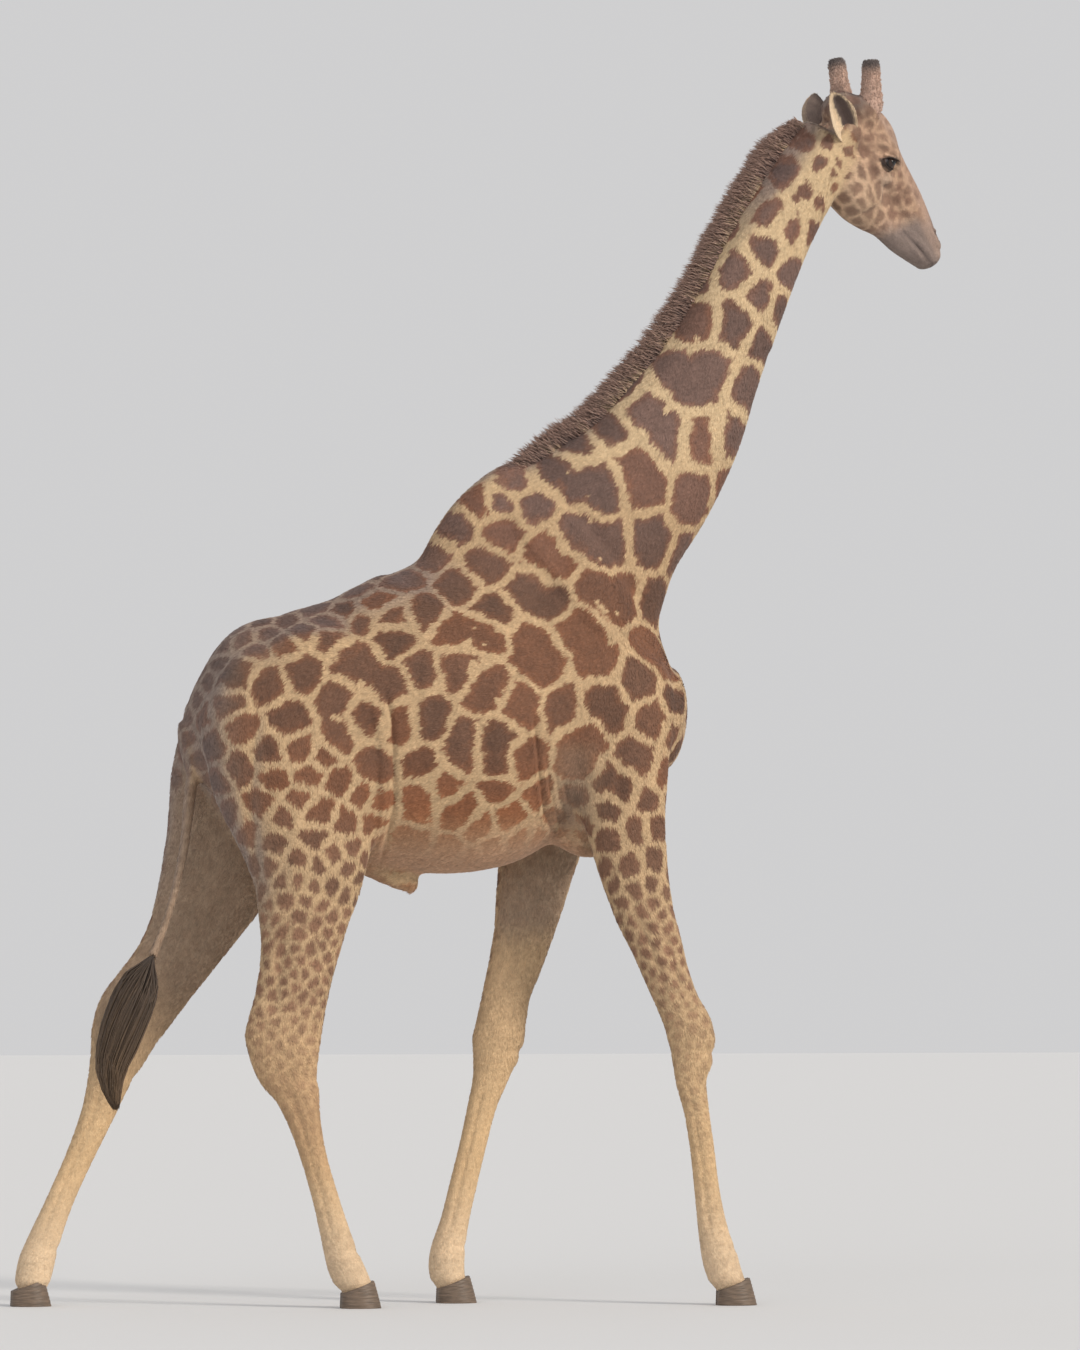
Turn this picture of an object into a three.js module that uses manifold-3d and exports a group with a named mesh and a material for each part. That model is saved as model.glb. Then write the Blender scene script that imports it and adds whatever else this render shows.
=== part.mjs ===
// Bull giraffe, life size, still model in a slow walk. Millimetres, +Z up, the animal faces +X.
// The flesh is one smooth body grown over elliptical tubes and muscle forms, meshed, thinned
// and parted by thin cuts; hooves, eyes, ears, ossicones, mane and tail are pieces of their own.
import * as THREE from 'three';
import Module from 'manifold-3d';

// ---------------------------------------------------------------- driving dimensions (mm)
const GAP = 0.3;                 // clearance left between neighbouring pieces
const BODY_GRID = 22;            // mesh pitch of trunk, neck and legs
const HEAD_GRID = 11;            // mesh pitch of the head
const BODY_TRIANGLES = 3790;     // kept after thinning
const HEAD_TRIANGLES = 1350;
const HEAD_JOINT = [1366, 120, 4406];   // where skull meets neck
const HEAD_YAW = 27;             // degrees to the animal's left
const HEAD_PITCH = 51;           // degrees nose-down
const EYE_AT = [206, 129, 96];   // along face, towards forehead, sideways from the joint
const EYE_RADIUS = 30;
const EAR_LENGTH = 226;
const MANE_HEIGHT = 66;          // above the low ridge it rises from
const HOOF_LENGTH = 152;
const HOOF_HALF_WIDTH = 60;
const HOOF_TOE_HEIGHT = 104;
const HOOF_HEEL_HEIGHT = 62;
const CLEFT = 7;                 // half the slot between the two claws of a foot

// Tube rows: x, y, z, half-depth (fore-aft across the axis), half-width (sideways).
const BARREL = [
  [-1085, 0, 2090, 105, 85], [-1005, 0, 2106, 246, 165], [-915, 0, 2118, 376, 222],
  [-820, 0, 2124, 441, 258], [-690, 0, 2123, 470, 290], [-480, 0, 2143, 507, 320],
  [-290, 0, 2172, 560, 345],
  [-100, 0, 2190, 580, 352], [90, 0, 2212, 562, 335], [280, 0, 2226, 496, 295],
  [470, 0, 2222, 470, 240], [625, 0, 2205, 347, 215], [722, 0, 2196, 200, 168],
];
const NECK = [
  [160, 0, 2455, 500, 215], [298, 0, 2690, 442, 200], [470, 0, 2924, 352, 178],
  [645, 5, 3112, 292, 158], [788, 15, 3324, 252, 136], [901, 30, 3529, 205, 118],
  [1021, 50, 3771, 172, 104], [1126, 70, 3994, 157, 95], [1215, 88, 4153, 147, 90],
  [1296, 104, 4282, 142, 86], [1376, 120, 4398, 130, 82],
];
const FORELEG_RIGHT = [
  [470, -180, 2320, 232, 85], [500, -200, 2035, 205, 92], [530, -205, 1810, 160, 88],
  [560, -205, 1640, 138, 80], [600, -204, 1480, 118, 72], [650, -199, 1350, 102, 64],
  [690, -195, 1235, 90, 58], [735, -192, 1125, 85, 56], [782, -190, 1025, 90, 60],
  [787, -189, 915, 78, 53], [785, -188, 835, 62, 43], [805, -187, 725, 51, 39],
  [828, -185, 575, 49, 38], [846, -183, 425, 51, 39], [870, -181, 275, 60, 45],
  [893, -180, 185, 70, 54], [910, -180, 125, 69, 56], [935, -180, 60, 66, 56],
  [955, -180, 5, 60, 50],
];
const FORELEG_LEFT = [
  [420, 180, 2320, 232, 85], [360, 200, 2010, 205, 92], [300, 205, 1790, 170, 88],
  [265, 205, 1640, 152, 80], [238, 204, 1500, 135, 72], [212, 200, 1380, 118, 64],
  [182, 196, 1270, 106, 59], [150, 192, 1165, 96, 56], [126, 190, 1040, 98, 60],
  [108, 189, 945, 92, 56], [85, 188, 840, 70, 45], [55, 187, 740, 58, 39],
  [20, 185, 595, 54, 38], [-15, 183, 455, 55, 39], [-50, 181, 310, 57, 45],
  [-75, 180, 205, 68, 54], [-82, 180, 135, 71, 56], [-70, 180, 65, 66, 56],
  [-52, 180, 5, 60, 50],
];
const HINDLEG_RIGHT = [
  [-745, -160, 2200, 320, 115], [-705, -190, 1965, 325, 128], [-675, -205, 1745, 262, 116],
  [-668, -208, 1590, 214, 102], [-680, -206, 1470, 182, 88], [-692, -203, 1355, 157, 76],
  [-710, -200, 1245, 143, 67], [-732, -197, 1130, 140, 61], [-755, -195, 1005, 144, 59],
  [-742, -194, 895, 124, 55], [-706, -193, 800, 90, 47], [-675, -192, 685, 64, 42],
  [-640, -190, 555, 52, 40], [-592, -187, 390, 53, 41], [-550, -185, 240, 62, 47],
  [-524, -184, 160, 69, 54], [-496, -183, 100, 68, 55], [-474, -183, 50, 65, 55],
  [-460, -183, 5, 60, 50],
];
const HINDLEG_LEFT = [
  [-838, 160, 2190, 252, 115], [-855, 190, 1965, 278, 128], [-902, 205, 1745, 250, 116],
  [-960, 208, 1590, 218, 102], [-1018, 206, 1465, 184, 88], [-1078, 203, 1352, 157, 76],
  [-1145, 200, 1250, 143, 67], [-1210, 197, 1165, 142, 61], [-1278, 195, 1070, 140, 59],
  [-1322, 194, 950, 112, 54], [-1362, 193, 835, 83, 47], [-1402, 192, 715, 66, 42],
  [-1468, 190, 560, 55, 40], [-1545, 187, 388, 54, 41], [-1605, 185, 240, 64, 47],
  [-1632, 184, 160, 71, 54], [-1645, 183, 100, 69, 55], [-1648, 183, 50, 66, 55],
  [-1650, 183, 5, 60, 50],
];
const TAIL = [
  [-1000, 0, 2170, 46, 42], [-1040, 0, 2100, 38, 34], [-1066, -5, 2010, 30, 27],
  [-1084, -10, 1880, 25, 23], [-1103, -15, 1720, 23, 21], [-1133, -15, 1570, 21, 19],
  [-1175, -15, 1425, 20, 18], [-1222, -15, 1305, 22, 20],
];
const TUFT = [
  [-1222, -15, 1305, 19, 17], [-1248, -15, 1250, 56, 46], [-1285, -15, 1165, 80, 64],
  [-1325, -15, 1065, 82, 66], [-1355, -15, 975, 76, 60], [-1375, -15, 900, 62, 50],
  [-1375, -15, 830, 44, 36], [-1365, -15, 770, 26, 22], [-1358, -15, 735, 9, 8],
];
const SHEATH = [
  [-450, 0, 1690, 60, 52], [-370, 0, 1640, 58, 46], [-295, 0, 1592, 42, 36], [-238, 0, 1568, 36, 32],
];
// Head tubes, rows in the head's own frame: along the face, towards the forehead, sideways.
const SKULL = [
  [-70, 124, 0, 74, 72], [-15, 142, 0, 96, 88], [55, 150, 0, 108, 96],
  [130, 150, 0, 114, 99], [205, 148, 0, 110, 98], [275, 148, 0, 104, 90],
  [345, 152, 0, 98, 79], [415, 155, 0, 91, 70], [515, 152, 0, 76, 63],
  [575, 144, 0, 63, 62], [618, 132, 0, 51, 60], [645, 122, 0, 42, 54],
];
const JAW = [
  [110, 28, 0, 96, 74], [180, 0, 0, 108, 80], [248, -12, 0, 106, 78],
  [325, 8, 0, 93, 66], [410, 38, 0, 72, 53], [500, 60, 0, 65, 47],
  [562, 80, 0, 57, 46], [618, 95, 0, 44, 44], [645, 103, 0, 33, 37],
];
const OSSICONE = [
  [30, 160, 64, 42, 40], [-8, 206, 82, 49, 45], [-46, 235, 90, 41, 39],
  [-82, 259, 95, 36, 35], [-113, 280, 99, 34, 33], [-134, 293, 102, 32, 31],
  [-147, 301, 104, 25, 24], [-154, 305, 105, 10, 10],
];
const OSSICONE_GROWTH = { ossicone_right: 0.965, ossicone_left: 1.065 };

// ---------------------------------------------------------------- small vector helpers
const RAD = Math.PI / 180;
const add = (a, b, s = 1) => [a[0] + b[0] * s, a[1] + b[1] * s, a[2] + b[2] * s];
const sub = (a, b) => add(a, b, -1);
const dot = (a, b) => a[0] * b[0] + a[1] * b[1] + a[2] * b[2];
const cross = (a, b) => [
  a[1] * b[2] - a[2] * b[1], a[2] * b[0] - a[0] * b[2], a[0] * b[1] - a[1] * b[0],
];
const unit = (a) => add([0, 0, 0], a, 1 / (Math.hypot(...a) || 1));
const mix = (a, b, t) => a.map((v, i) => v + (b[i] - v) * t);

// The head's frame: FACE runs poll to nose, BROW out through the forehead, LEFT to its left.
const FACE = [
  Math.cos(HEAD_PITCH * RAD) * Math.cos(HEAD_YAW * RAD),
  Math.cos(HEAD_PITCH * RAD) * Math.sin(HEAD_YAW * RAD),
  -Math.sin(HEAD_PITCH * RAD),
];
const LEFT = [-Math.sin(HEAD_YAW * RAD), Math.cos(HEAD_YAW * RAD), 0];
const BROW = cross(FACE, LEFT);
const inHead = ([s, u, v]) => add(add(add(HEAD_JOINT, FACE, s), BROW, u), LEFT, v);
const headRow = (row, side = 1) => [...inHead([row[0], row[1], row[2] * side]), row[3], row[4]];

// ---------------------------------------------------------------- body forms
const SIDE = [0, 1, 0];

// Smooth curve through the rows, with a frame at each step: T along, V sideways, U across.
function sampleTube(rows, side = SIDE, steps = 5) {
  const at = (i) => rows[Math.max(0, Math.min(rows.length - 1, i))];
  const points = [];
  for (let i = 0; i < rows.length - 1; i++) {
    for (let j = 0; j < steps; j++) {
      const t = j / steps;
      points.push(at(i).map((p1, k) => {
        const p0 = at(i - 1)[k], p2 = at(i + 1)[k], p3 = at(i + 2)[k];
        return p1 + 0.5 * t * (p2 - p0 + t * (2 * p0 - 5 * p1 + 4 * p2 - p3
          + t * (3 * (p1 - p2) + p3 - p0)));
      }));
    }
  }
  points.push(rows[rows.length - 1]);
  return points.map((p, i) => {
    const before = points[Math.max(0, i - 1)], after = points[Math.min(points.length - 1, i + 1)];
    const T = unit(sub(after, before));
    const V = unit(add(side, T, -dot(side, T)));
    return { c: p.slice(0, 3), a: p[3], b: p[4], T, V, U: cross(V, T) };
  });
}

function tube(rows, { side = SIDE, blend = 60, caps = [60, 60] } = {}) {
  const s = sampleTube(rows, side);
  const links = [];
  for (let i = 0; i < s.length - 1; i++) {
    const d = sub(s[i + 1].c, s[i].c);
    const ends = [i === 0 ? caps[0] : 0, i === s.length - 2 ? caps[1] : 0];
    const reach = Math.max(s[i].a, s[i].b, s[i + 1].a, s[i + 1].b, ...ends) + Math.hypot(...d);
    links.push({ p: s[i], q: s[i + 1], d, ends, mid: s[i].c, reach });
  }
  return { blend, links };
}

function ball(at, radii, { blend = 60, axes = [[1, 0, 0], [0, 0, 1], [0, 1, 0]] } = {}) {
  return { blend, links: [{ ball: true, mid: at, radii, axes, reach: Math.max(...radii) }] };
}

const headBall = (at, radii, blend) => [1, -1].slice(0, at[2] ? 2 : 1).map((m) =>
  ball(inHead([at[0], at[1], at[2] * m]), radii, { blend, axes: [FACE, BROW, LEFT] }));
const bothSides = (x, y, z, radii, blend) => [-1, 1].map((m) => ball([x, m * y, z], radii, { blend }));

const HEAD_FORMS = [
  tube(SKULL.map((r) => headRow(r)), { side: LEFT, blend: 45, caps: [45, 34] }),
  tube(JAW.map((r) => headRow(r)), { side: LEFT, blend: 34, caps: [60, 24] }),
  ...headBall([118, 222, 0], [92, 58, 60], 50),        // median bump of the forehead
  ...headBall([-4, 180, 74], [64, 56, 50], 36),         // foot of each ossicone
  ...headBall([196, 168, 80], [66, 30, 36], 26),       // brow over the eye
  ...headBall([212, 92, 84], [66, 34, 26], 30),        // cheekbone under the eye
  ...headBall([215, -6, 58], [100, 82, 36], 40),       // jaw muscle
  ...headBall([20, 62, 62], [60, 58, 46], 40),         // root of each ear
  ...headBall([600, 168, 36], [44, 21, 24], 18),       // nostril
  ...headBall([652, 128, 20], [22, 42, 34], 20),       // upper lip
];
// The withers slope down and back from the neck.
const WITHERS_AXES = [[0.68, 0, 0.73], [-0.73, 0, 0.68], [0, 1, 0]];
const BODY_FORMS = [
  tube(BARREL, { blend: 90, caps: [40, 82] }),
  tube(NECK, { blend: 100, caps: [60, 40] }),
  tube(FORELEG_RIGHT, { blend: 70, caps: [120, 30] }),
  tube(FORELEG_LEFT, { blend: 70, caps: [120, 30] }),
  tube(HINDLEG_RIGHT, { blend: 70, caps: [160, 30] }),
  tube(HINDLEG_LEFT, { blend: 70, caps: [160, 30] }),
  ball([1, 0, 2979], [230, 80, 75], { blend: 100, axes: WITHERS_AXES }),
  ...bothSides(400, 195, 2480, [130, 300, 66], 110),            // shoulder blade
  ...bothSides(575, 125, 2190, [130, 140, 90], 100),            // point of the shoulder
  ...bothSides(-650, 200, 2400, [150, 110, 70], 120),           // hip bone
  ball([430, 0, 1800], [140, 130, 120], { blend: 70 }),         // brisket
  tube(SHEATH, { blend: 60, caps: [40, 22] }),
  ...bothSides(-870, 165, 2180, [150, 240, 90], 80),            // rump muscle
];
const FORMS = [...BODY_FORMS, ...HEAD_FORMS];

// Signed distance-like value of one link: below zero inside.
function linkValue(L, px, py, pz) {
  let u, v, w, a, b, c;
  if (L.ball) {
    const x = px - L.mid[0], y = py - L.mid[1], z = pz - L.mid[2];
    const [A, B, C] = L.axes;
    u = x * A[0] + y * A[1] + z * A[2];
    w = x * B[0] + y * B[1] + z * B[2];
    v = x * C[0] + y * C[1] + z * C[2];
    [a, c, b] = L.radii;
  } else {
    // The link owns what lies between its end planes; only a tube's two ends are rounded off.
    const { p, q, d, ends } = L;
    const x = px - p.c[0], y = py - p.c[1], z = pz - p.c[2];
    const before = x * p.T[0] + y * p.T[1] + z * p.T[2];
    const after = (x - d[0]) * q.T[0] + (y - d[1]) * q.T[1] + (z - d[2]) * q.T[2];
    let t = before / (before - after || 1e-9);
    w = 0;
    c = 1;
    if (t < 0 || t > 1) {
      const last = Math.abs(after) < Math.abs(before);
      c = ends[+last];
      if (!c) return 1e3;
      w = last ? after : before;
      t = +last;
    }
    const along = (m, n) => (x - d[0] * t) * (m[0] * (1 - t) + n[0] * t)
      + (y - d[1] * t) * (m[1] * (1 - t) + n[1] * t) + (z - d[2] * t) * (m[2] * (1 - t) + n[2] * t);
    u = along(p.U, q.U);
    v = along(p.V, q.V);
    a = p.a + (q.a - p.a) * t;
    b = p.b + (q.b - p.b) * t;
  }
  const ua = u / a, vb = v / b, wc = w / c;
  const rho = Math.sqrt(ua * ua + vb * vb + wc * wc);
  const slope = Math.sqrt((ua / a) ** 2 + (vb / b) ** 2 + (wc / c) ** 2) || 1 / Math.min(a, b, c);
  return ((rho - 1) * Math.max(rho, 0.05)) / slope;
}

const softMin = (f, g, k) => {
  const h = Math.max(k - Math.abs(f - g), 0) / k;
  return Math.min(f, g) - h * h * k * 0.25;
};

// The field over a box, cut into blocks that each know only the forms near them.
function makeField(forms, low, high, block) {
  const n = [0, 1, 2].map((k) => Math.ceil((high[k] - low[k]) / block) + 1);
  const cells = new Map();
  const far = block * 0.87 + 150;
  const listFor = (i, j, k) => {
    const key = (i * n[1] + j) * n[2] + k;
    if (!cells.has(key)) {
      const mid = [i, j, k].map((v, m) => low[m] + (v + 0.5) * block);
      const near = [];
      for (const form of forms) {
        const links = form.links.filter((L) => Math.hypot(...sub(mid, L.mid)) < L.reach + far);
        if (links.length) near.push({ blend: form.blend, links });
      }
      cells.set(key, near);
    }
    return cells.get(key);
  };
  return ([x, y, z]) => {
    const near = listFor(...[x, y, z].map((v, m) => Math.floor((v - low[m]) / block)));
    let f = 1e3;
    for (const form of near) {
      let g = 1e3;
      for (const L of form.links) g = Math.min(g, linkValue(L, x, y, z));
      f = softMin(f, g, form.blend);
    }
    return f;
  };
}

// ---------------------------------------------------------------- meshing
// Marching tetrahedra on a cubic lattice: always closed, always facing out.
function meshField(forms, low, high, pitch) {
  const field = makeField(forms, low, high, pitch * 8);
  const n = [0, 1, 2].map((k) => Math.ceil((high[k] - low[k]) / pitch) + 1);
  const index = (i, j, k) => (i * n[1] + j) * n[2] + k;
  const place = (i, j, k) => [low[0] + i * pitch, low[1] + j * pitch, low[2] + k * pitch];
  const value = new Float64Array(n[0] * n[1] * n[2]);
  // Blocks whose middle lies well clear of the surface take that one value throughout.
  const step = 4;
  const blocks = n.map((v) => Math.ceil(v / step));
  for (let b = 0; b < blocks[0] * blocks[1] * blocks[2]; b++) {
    const from = [Math.floor(b / blocks[1] / blocks[2]), Math.floor(b / blocks[2]) % blocks[1],
      b % blocks[2]].map((v) => v * step);
    const whole = field(place(...from.map((v) => v + (step - 1) / 2)));
    const clear = Math.abs(whole) > pitch * step * 1.6;
    for (let i = from[0]; i < Math.min(from[0] + step, n[0]); i++) {
      for (let j = from[1]; j < Math.min(from[1] + step, n[1]); j++) {
        for (let k = from[2]; k < Math.min(from[2] + step, n[2]); k++) {
          const rim = !i || !j || !k || i === n[0] - 1 || j === n[1] - 1 || k === n[2] - 1;
          value[index(i, j, k)] = rim ? 1e3 : clear ? whole : field(place(i, j, k)) || 1e-6;
        }
      }
    }
  }
  const verts = [], tris = [], known = new Map();
  const corner = (i, j, k, bits) => [i + (bits & 1), j + ((bits >> 1) & 1), k + (bits >> 2)];
  const crossing = (cell, inner, outer) => {
    const A = corner(...cell, Math.min(inner, outer)), B = corner(...cell, Math.max(inner, outer));
    const key = index(...A) * 8 + (inner ^ outer);
    if (!known.has(key)) {
      const fa = value[index(...A)], fb = value[index(...B)];
      known.set(key, verts.length);
      verts.push(mix(place(...A), place(...B), Math.max(0.02, Math.min(0.98, fa / (fa - fb)))));
    }
    return known.get(key);
  };
  const paths = [[1, 2], [2, 1], [1, 4], [4, 1], [2, 4], [4, 2]].map(([p, q]) => [0, p, p | q, 7]);
  const emit = (a, b, c, out) => {
    const turn = dot(cross(sub(verts[b], verts[a]), sub(verts[c], verts[a])), out);
    tris.push(turn > 0 ? [a, b, c] : [a, c, b]);
  };
  for (let i = 0; i < n[0] - 1; i++) {
    for (let j = 0; j < n[1] - 1; j++) {
      for (let k = 0; k < n[2] - 1; k++) {
        const at = index(i, j, k), dx = n[1] * n[2], dy = n[2];
        const count = (value[at] < 0) + (value[at + 1] < 0) + (value[at + dy] < 0)
          + (value[at + dy + 1] < 0) + (value[at + dx] < 0) + (value[at + dx + 1] < 0)
          + (value[at + dx + dy] < 0) + (value[at + dx + dy + 1] < 0);
        if (!count || count === 8) continue;
        for (const path of paths) {
          const low4 = path.filter((m) => value[index(...corner(i, j, k, m))] < 0);
          const high4 = path.filter((m) => !low4.includes(m));
          if (!low4.length || !high4.length) continue;
          const mean = (set) => set.map((m) => corner(0, 0, 0, m)).reduce((s, v) => add(s, v))
            .map((v) => v / set.length);
          const out = sub(mean(high4), mean(low4));
          const cut = (p, q) => crossing([i, j, k], p, q);
          if (low4.length === 2) {
            const [a, b] = low4, [c, d] = high4;
            const [ac, ad, bc, bd] = [cut(a, c), cut(a, d), cut(b, c), cut(b, d)];
            emit(ac, ad, bd, out);
            emit(ac, bd, bc, out);
          } else {
            const [one, rest] = low4.length === 1 ? [low4[0], high4] : [high4[0], low4];
            emit(...rest.map((m) => cut(one, m)), out);
          }
        }
      }
    }
  }
  const e = pitch * 0.05;
  for (let pass = 0; pass < 2; pass++) {
    for (const p of verts) {
      const f = field(p);
      const grad = [0, 1, 2].map((k) => {
        const q = [...p];
        q[k] += e;
        return (field(q) - f) / e;
      });
      const step = Math.max(-pitch * 0.3, Math.min(pitch * 0.3, f / (dot(grad, grad) || 1)));
      for (let k = 0; k < 3; k++) p[k] -= grad[k] * step;
    }
  }
  return { verts, tris };
}

// Binary heap of candidate edge collapses, cheapest first.
class Heap {
  items = [];
  push(item) {
    const h = this.items;
    let i = h.push(item) - 1;
    for (let up = (i - 1) >> 1; i > 0 && h[up].cost > item.cost; i = up, up = (i - 1) >> 1) {
      h[i] = h[up];
      h[up] = item;
    }
  }
  pop() {
    const h = this.items, top = h[0], last = h.pop();
    if (!h.length) return top;
    h[0] = last;
    for (let i = 0, next; (next = 2 * i + 1) < h.length; i = next) {
      if (next + 1 < h.length && h[next + 1].cost < h[next].cost) next++;
      if (h[next].cost >= last.cost) break;
      h[i] = h[next];
      h[next] = last;
    }
    return top;
  }
}

// Thins a closed mesh by collapsing the edges whose loss changes the surface least.
function simplify({ verts, tris }, goal) {
  const planes = verts.map(() => new Float64Array(10));
  const around = verts.map(() => new Set());
  const alive = tris.map(() => true);
  const normal = (t, id = -1, at = null) => {
    const [a, b, c] = t.map((v) => (v === id ? at : verts[v]));
    return cross(sub(b, a), sub(c, a));
  };
  tris.forEach((t, i) => {
    const n = normal(t), area = Math.hypot(...n) || 1e-9, m = unit(n), d = -dot(m, verts[t[0]]);
    const q = [m[0] * m[0], m[0] * m[1], m[0] * m[2], m[0] * d, m[1] * m[1], m[1] * m[2],
      m[1] * d, m[2] * m[2], m[2] * d, d * d];
    for (const v of t) {
      around[v].add(i);
      q.forEach((x, k) => { planes[v][k] += x * area; });
    }
  });
  const error = (q, [x, y, z]) => q[0] * x * x + 2 * q[1] * x * y + 2 * q[2] * x * z
    + 2 * q[3] * x + q[4] * y * y + 2 * q[5] * y * z + 2 * q[6] * y + q[7] * z * z
    + 2 * q[8] * z + q[9];
  const best = (q, a, b) => {
    const det = q[0] * (q[4] * q[7] - q[5] * q[5]) - q[1] * (q[1] * q[7] - q[5] * q[2])
      + q[2] * (q[1] * q[5] - q[4] * q[2]);
    const middle = mix(a, b, 0.5);
    const scale = (q[0] + q[4] + q[7]) / 3;
    if (Math.abs(det) < 1e-3 * scale ** 3) return middle;
    const x = -(q[3] * (q[4] * q[7] - q[5] * q[5]) - q[1] * (q[6] * q[7] - q[5] * q[8])
      + q[2] * (q[6] * q[5] - q[4] * q[8])) / det;
    const y = -(q[0] * (q[6] * q[7] - q[5] * q[8]) - q[3] * (q[1] * q[7] - q[5] * q[2])
      + q[2] * (q[1] * q[8] - q[6] * q[2])) / det;
    const z = -(q[0] * (q[4] * q[8] - q[6] * q[5]) - q[1] * (q[1] * q[8] - q[6] * q[2])
      + q[3] * (q[1] * q[5] - q[4] * q[2])) / det;
    const far = Math.hypot(...sub([x, y, z], middle)) > Math.hypot(...sub(a, b));
    return far ? middle : [x, y, z];
  };
  const stamp = new Int32Array(verts.length);
  const heap = new Heap();
  const offer = (a, b) => {
    const q = planes[a].map((x, k) => x + planes[b][k]);
    const at = best(q, verts[a], verts[b]);
    const long = Math.hypot(...sub(verts[a], verts[b]));
    heap.push({ cost: error(q, at) + 0.02 * long ** 3, a, b, at, sa: stamp[a], sb: stamp[b] });
  };
  const ring = (v) => {
    const set = new Set();
    for (const t of around[v]) for (const w of tris[t]) if (w !== v) set.add(w);
    return set;
  };
  tris.forEach(([a, b, c]) => [[a, b], [b, c], [c, a]].forEach(([p, q]) => p < q && offer(p, q)));
  // Shape of a triangle: 0.29 when even-sided, near 0 for a sliver.
  const shape = (n, [p, q, r]) => Math.hypot(...n)
    / ([sub(p, q), sub(q, r), sub(r, p)].reduce((s, w) => s + dot(w, w), 0) || 1);
  const spoils = (v, gone, at) => {
    for (const t of around[v]) {
      if (tris[t].includes(gone)) continue;
      const before = normal(tris[t]), after = normal(tris[t], v, at);
      const was = shape(before, tris[t].map((w) => verts[w]));
      const now = shape(after, tris[t].map((w) => (w === v ? at : verts[w])));
      if (now < Math.min(0.05, was * 0.6)) return true;
      if (was > 0.02 && dot(unit(before), unit(after)) < 0.3) return true;
    }
    return false;
  };
  let left = tris.length;
  while (left > goal && heap.items.length) {
    const { a, b, at, sa, sb } = heap.pop();
    if (stamp[a] !== sa || stamp[b] !== sb || !around[a].size || !around[b].size) continue;
    const ringA = ring(a), ringB = ring(b);
    if (!ringA.has(b) || [...ringA].filter((v) => ringB.has(v)).length !== 2) continue;
    if (spoils(a, b, at) || spoils(b, a, at)) continue;
    verts[a] = at;
    planes[a] = planes[a].map((x, k) => x + planes[b][k]);
    for (const t of around[b]) {
      if (tris[t].includes(a)) {
        alive[t] = false;
        tris[t].forEach((v) => around[v].delete(t));
        left--;
      } else {
        tris[t] = tris[t].map((v) => (v === b ? a : v));
        around[a].add(t);
      }
    }
    around[b].clear();
    stamp[a]++;
    stamp[b]++;
    for (const v of ring(a)) offer(a, v);
  }
  const number = new Map();
  const keep = (v) => {
    if (!number.has(v)) number.set(v, number.size);
    return number.get(v);
  };
  const kept = tris.filter((_, i) => alive[i]).map((t) => t.map(keep));
  return { verts: [...number.keys()].map((v) => verts[v]), tris: kept };
}

// ---------------------------------------------------------------- solids and cutting
const wasm = await Module();
wasm.setup();

const toManifold = ({ verts, tris }) => {
  const mesh = new wasm.Mesh({
    numProp: 3, vertProperties: new Float32Array(verts.flat()), triVerts: new Uint32Array(tris.flat()),
  });
  return new wasm.Manifold(mesh);
};

function faceOut({ verts, tris }) {
  const volume = tris.reduce((s, [a, b, c]) => s + dot(verts[a], cross(verts[b], verts[c])), 0);
  return { verts, tris: volume < 0 ? tris.map(([a, b, c]) => [a, c, b]) : tris };
}

// Skins a row of rings, point i facing point N-1-i across the caps.
function loft(rings) {
  const n = rings[0].length;
  const verts = rings.flat(), tris = [];
  for (let r = 0; r < rings.length - 1; r++) {
    for (let i = 0; i < n; i++) {
      const [a, b] = [r * n + i, r * n + (i + 1) % n];
      tris.push([a, b, b + n], [a, b + n, a + n]);
    }
  }
  const last = (rings.length - 1) * n;
  for (let i = 0; i < n / 2 - 1; i++) {
    const j = n - 1 - i;
    for (const t of [[i, j - 1, i + 1], [i, j, j - 1]]) {
      if (new Set(t).size === 3) tris.push(t, t.map((v) => v + last).reverse());
    }
  }
  return faceOut({ verts, tris });
}

const ringOf = (s, count) => Array.from({ length: count }, (_, i) => {
  const t = (2 * Math.PI * (i + 0.5)) / count;
  return add(add(s.c, s.U, s.a * Math.cos(t)), s.V, s.b * Math.sin(t));
});
const loftTube = (rows, count, steps, side) =>
  loft(sampleTube(rows, side, steps).map((s) => ringOf(s, count)));

// Welds a stock geometry into a solid; `turn` maps its points into the model's frame.
function fromGeometry(geometry, turn) {
  const at = geometry.attributes.position, index = geometry.index?.array;
  const known = new Map(), verts = [], tris = [];
  const idOf = (i) => {
    const p = turn([at.getX(i), at.getY(i), at.getZ(i)]);
    const key = p.map((v) => v.toFixed(4)).join();
    if (!known.has(key)) known.set(key, verts.push(p) - 1);
    return known.get(key);
  };
  for (let i = 0; i < (index ? index.length : at.count); i += 3) {
    const t = [0, 1, 2].map((k) => idOf(index ? index[i + k] : i + k));
    if (new Set(t).size === 3) tris.push(t);
  }
  return faceOut({ verts, tris });
}

// A side-view outline (x, z) pushed through from one y to another, grown outwards by `grow`.
function prism(outline, yFrom, yTo, grow = 0) {
  const n = outline.length;
  const area = outline.reduce((s, [x, z], i) => {
    const [p, q] = outline[(i + 1) % n];
    return s + x * q - p * z;
  }, 0);
  const path = area > 0 ? outline : [...outline].reverse();
  const grown = path.map(([x, z], i) => {
    const [px, pz] = path[(i + n - 1) % n], [qx, qz] = path[(i + 1) % n];
    const m = unit([z - pz, px - x, 0]), o = unit([qz - z, x - qx, 0]);
    const k = grow / (1 + dot(m, o));
    return new THREE.Vector2(x + (m[0] + o[0]) * k, z + (m[1] + o[1]) * k);
  });
  const depth = yTo - yFrom + 2 * grow;
  const solid = new THREE.ExtrudeGeometry(new THREE.Shape(grown), { depth, bevelEnabled: false });
  return toManifold(fromGeometry(solid, ([x, z, y]) => [x, y + yFrom - grow, z]));
}

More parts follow.
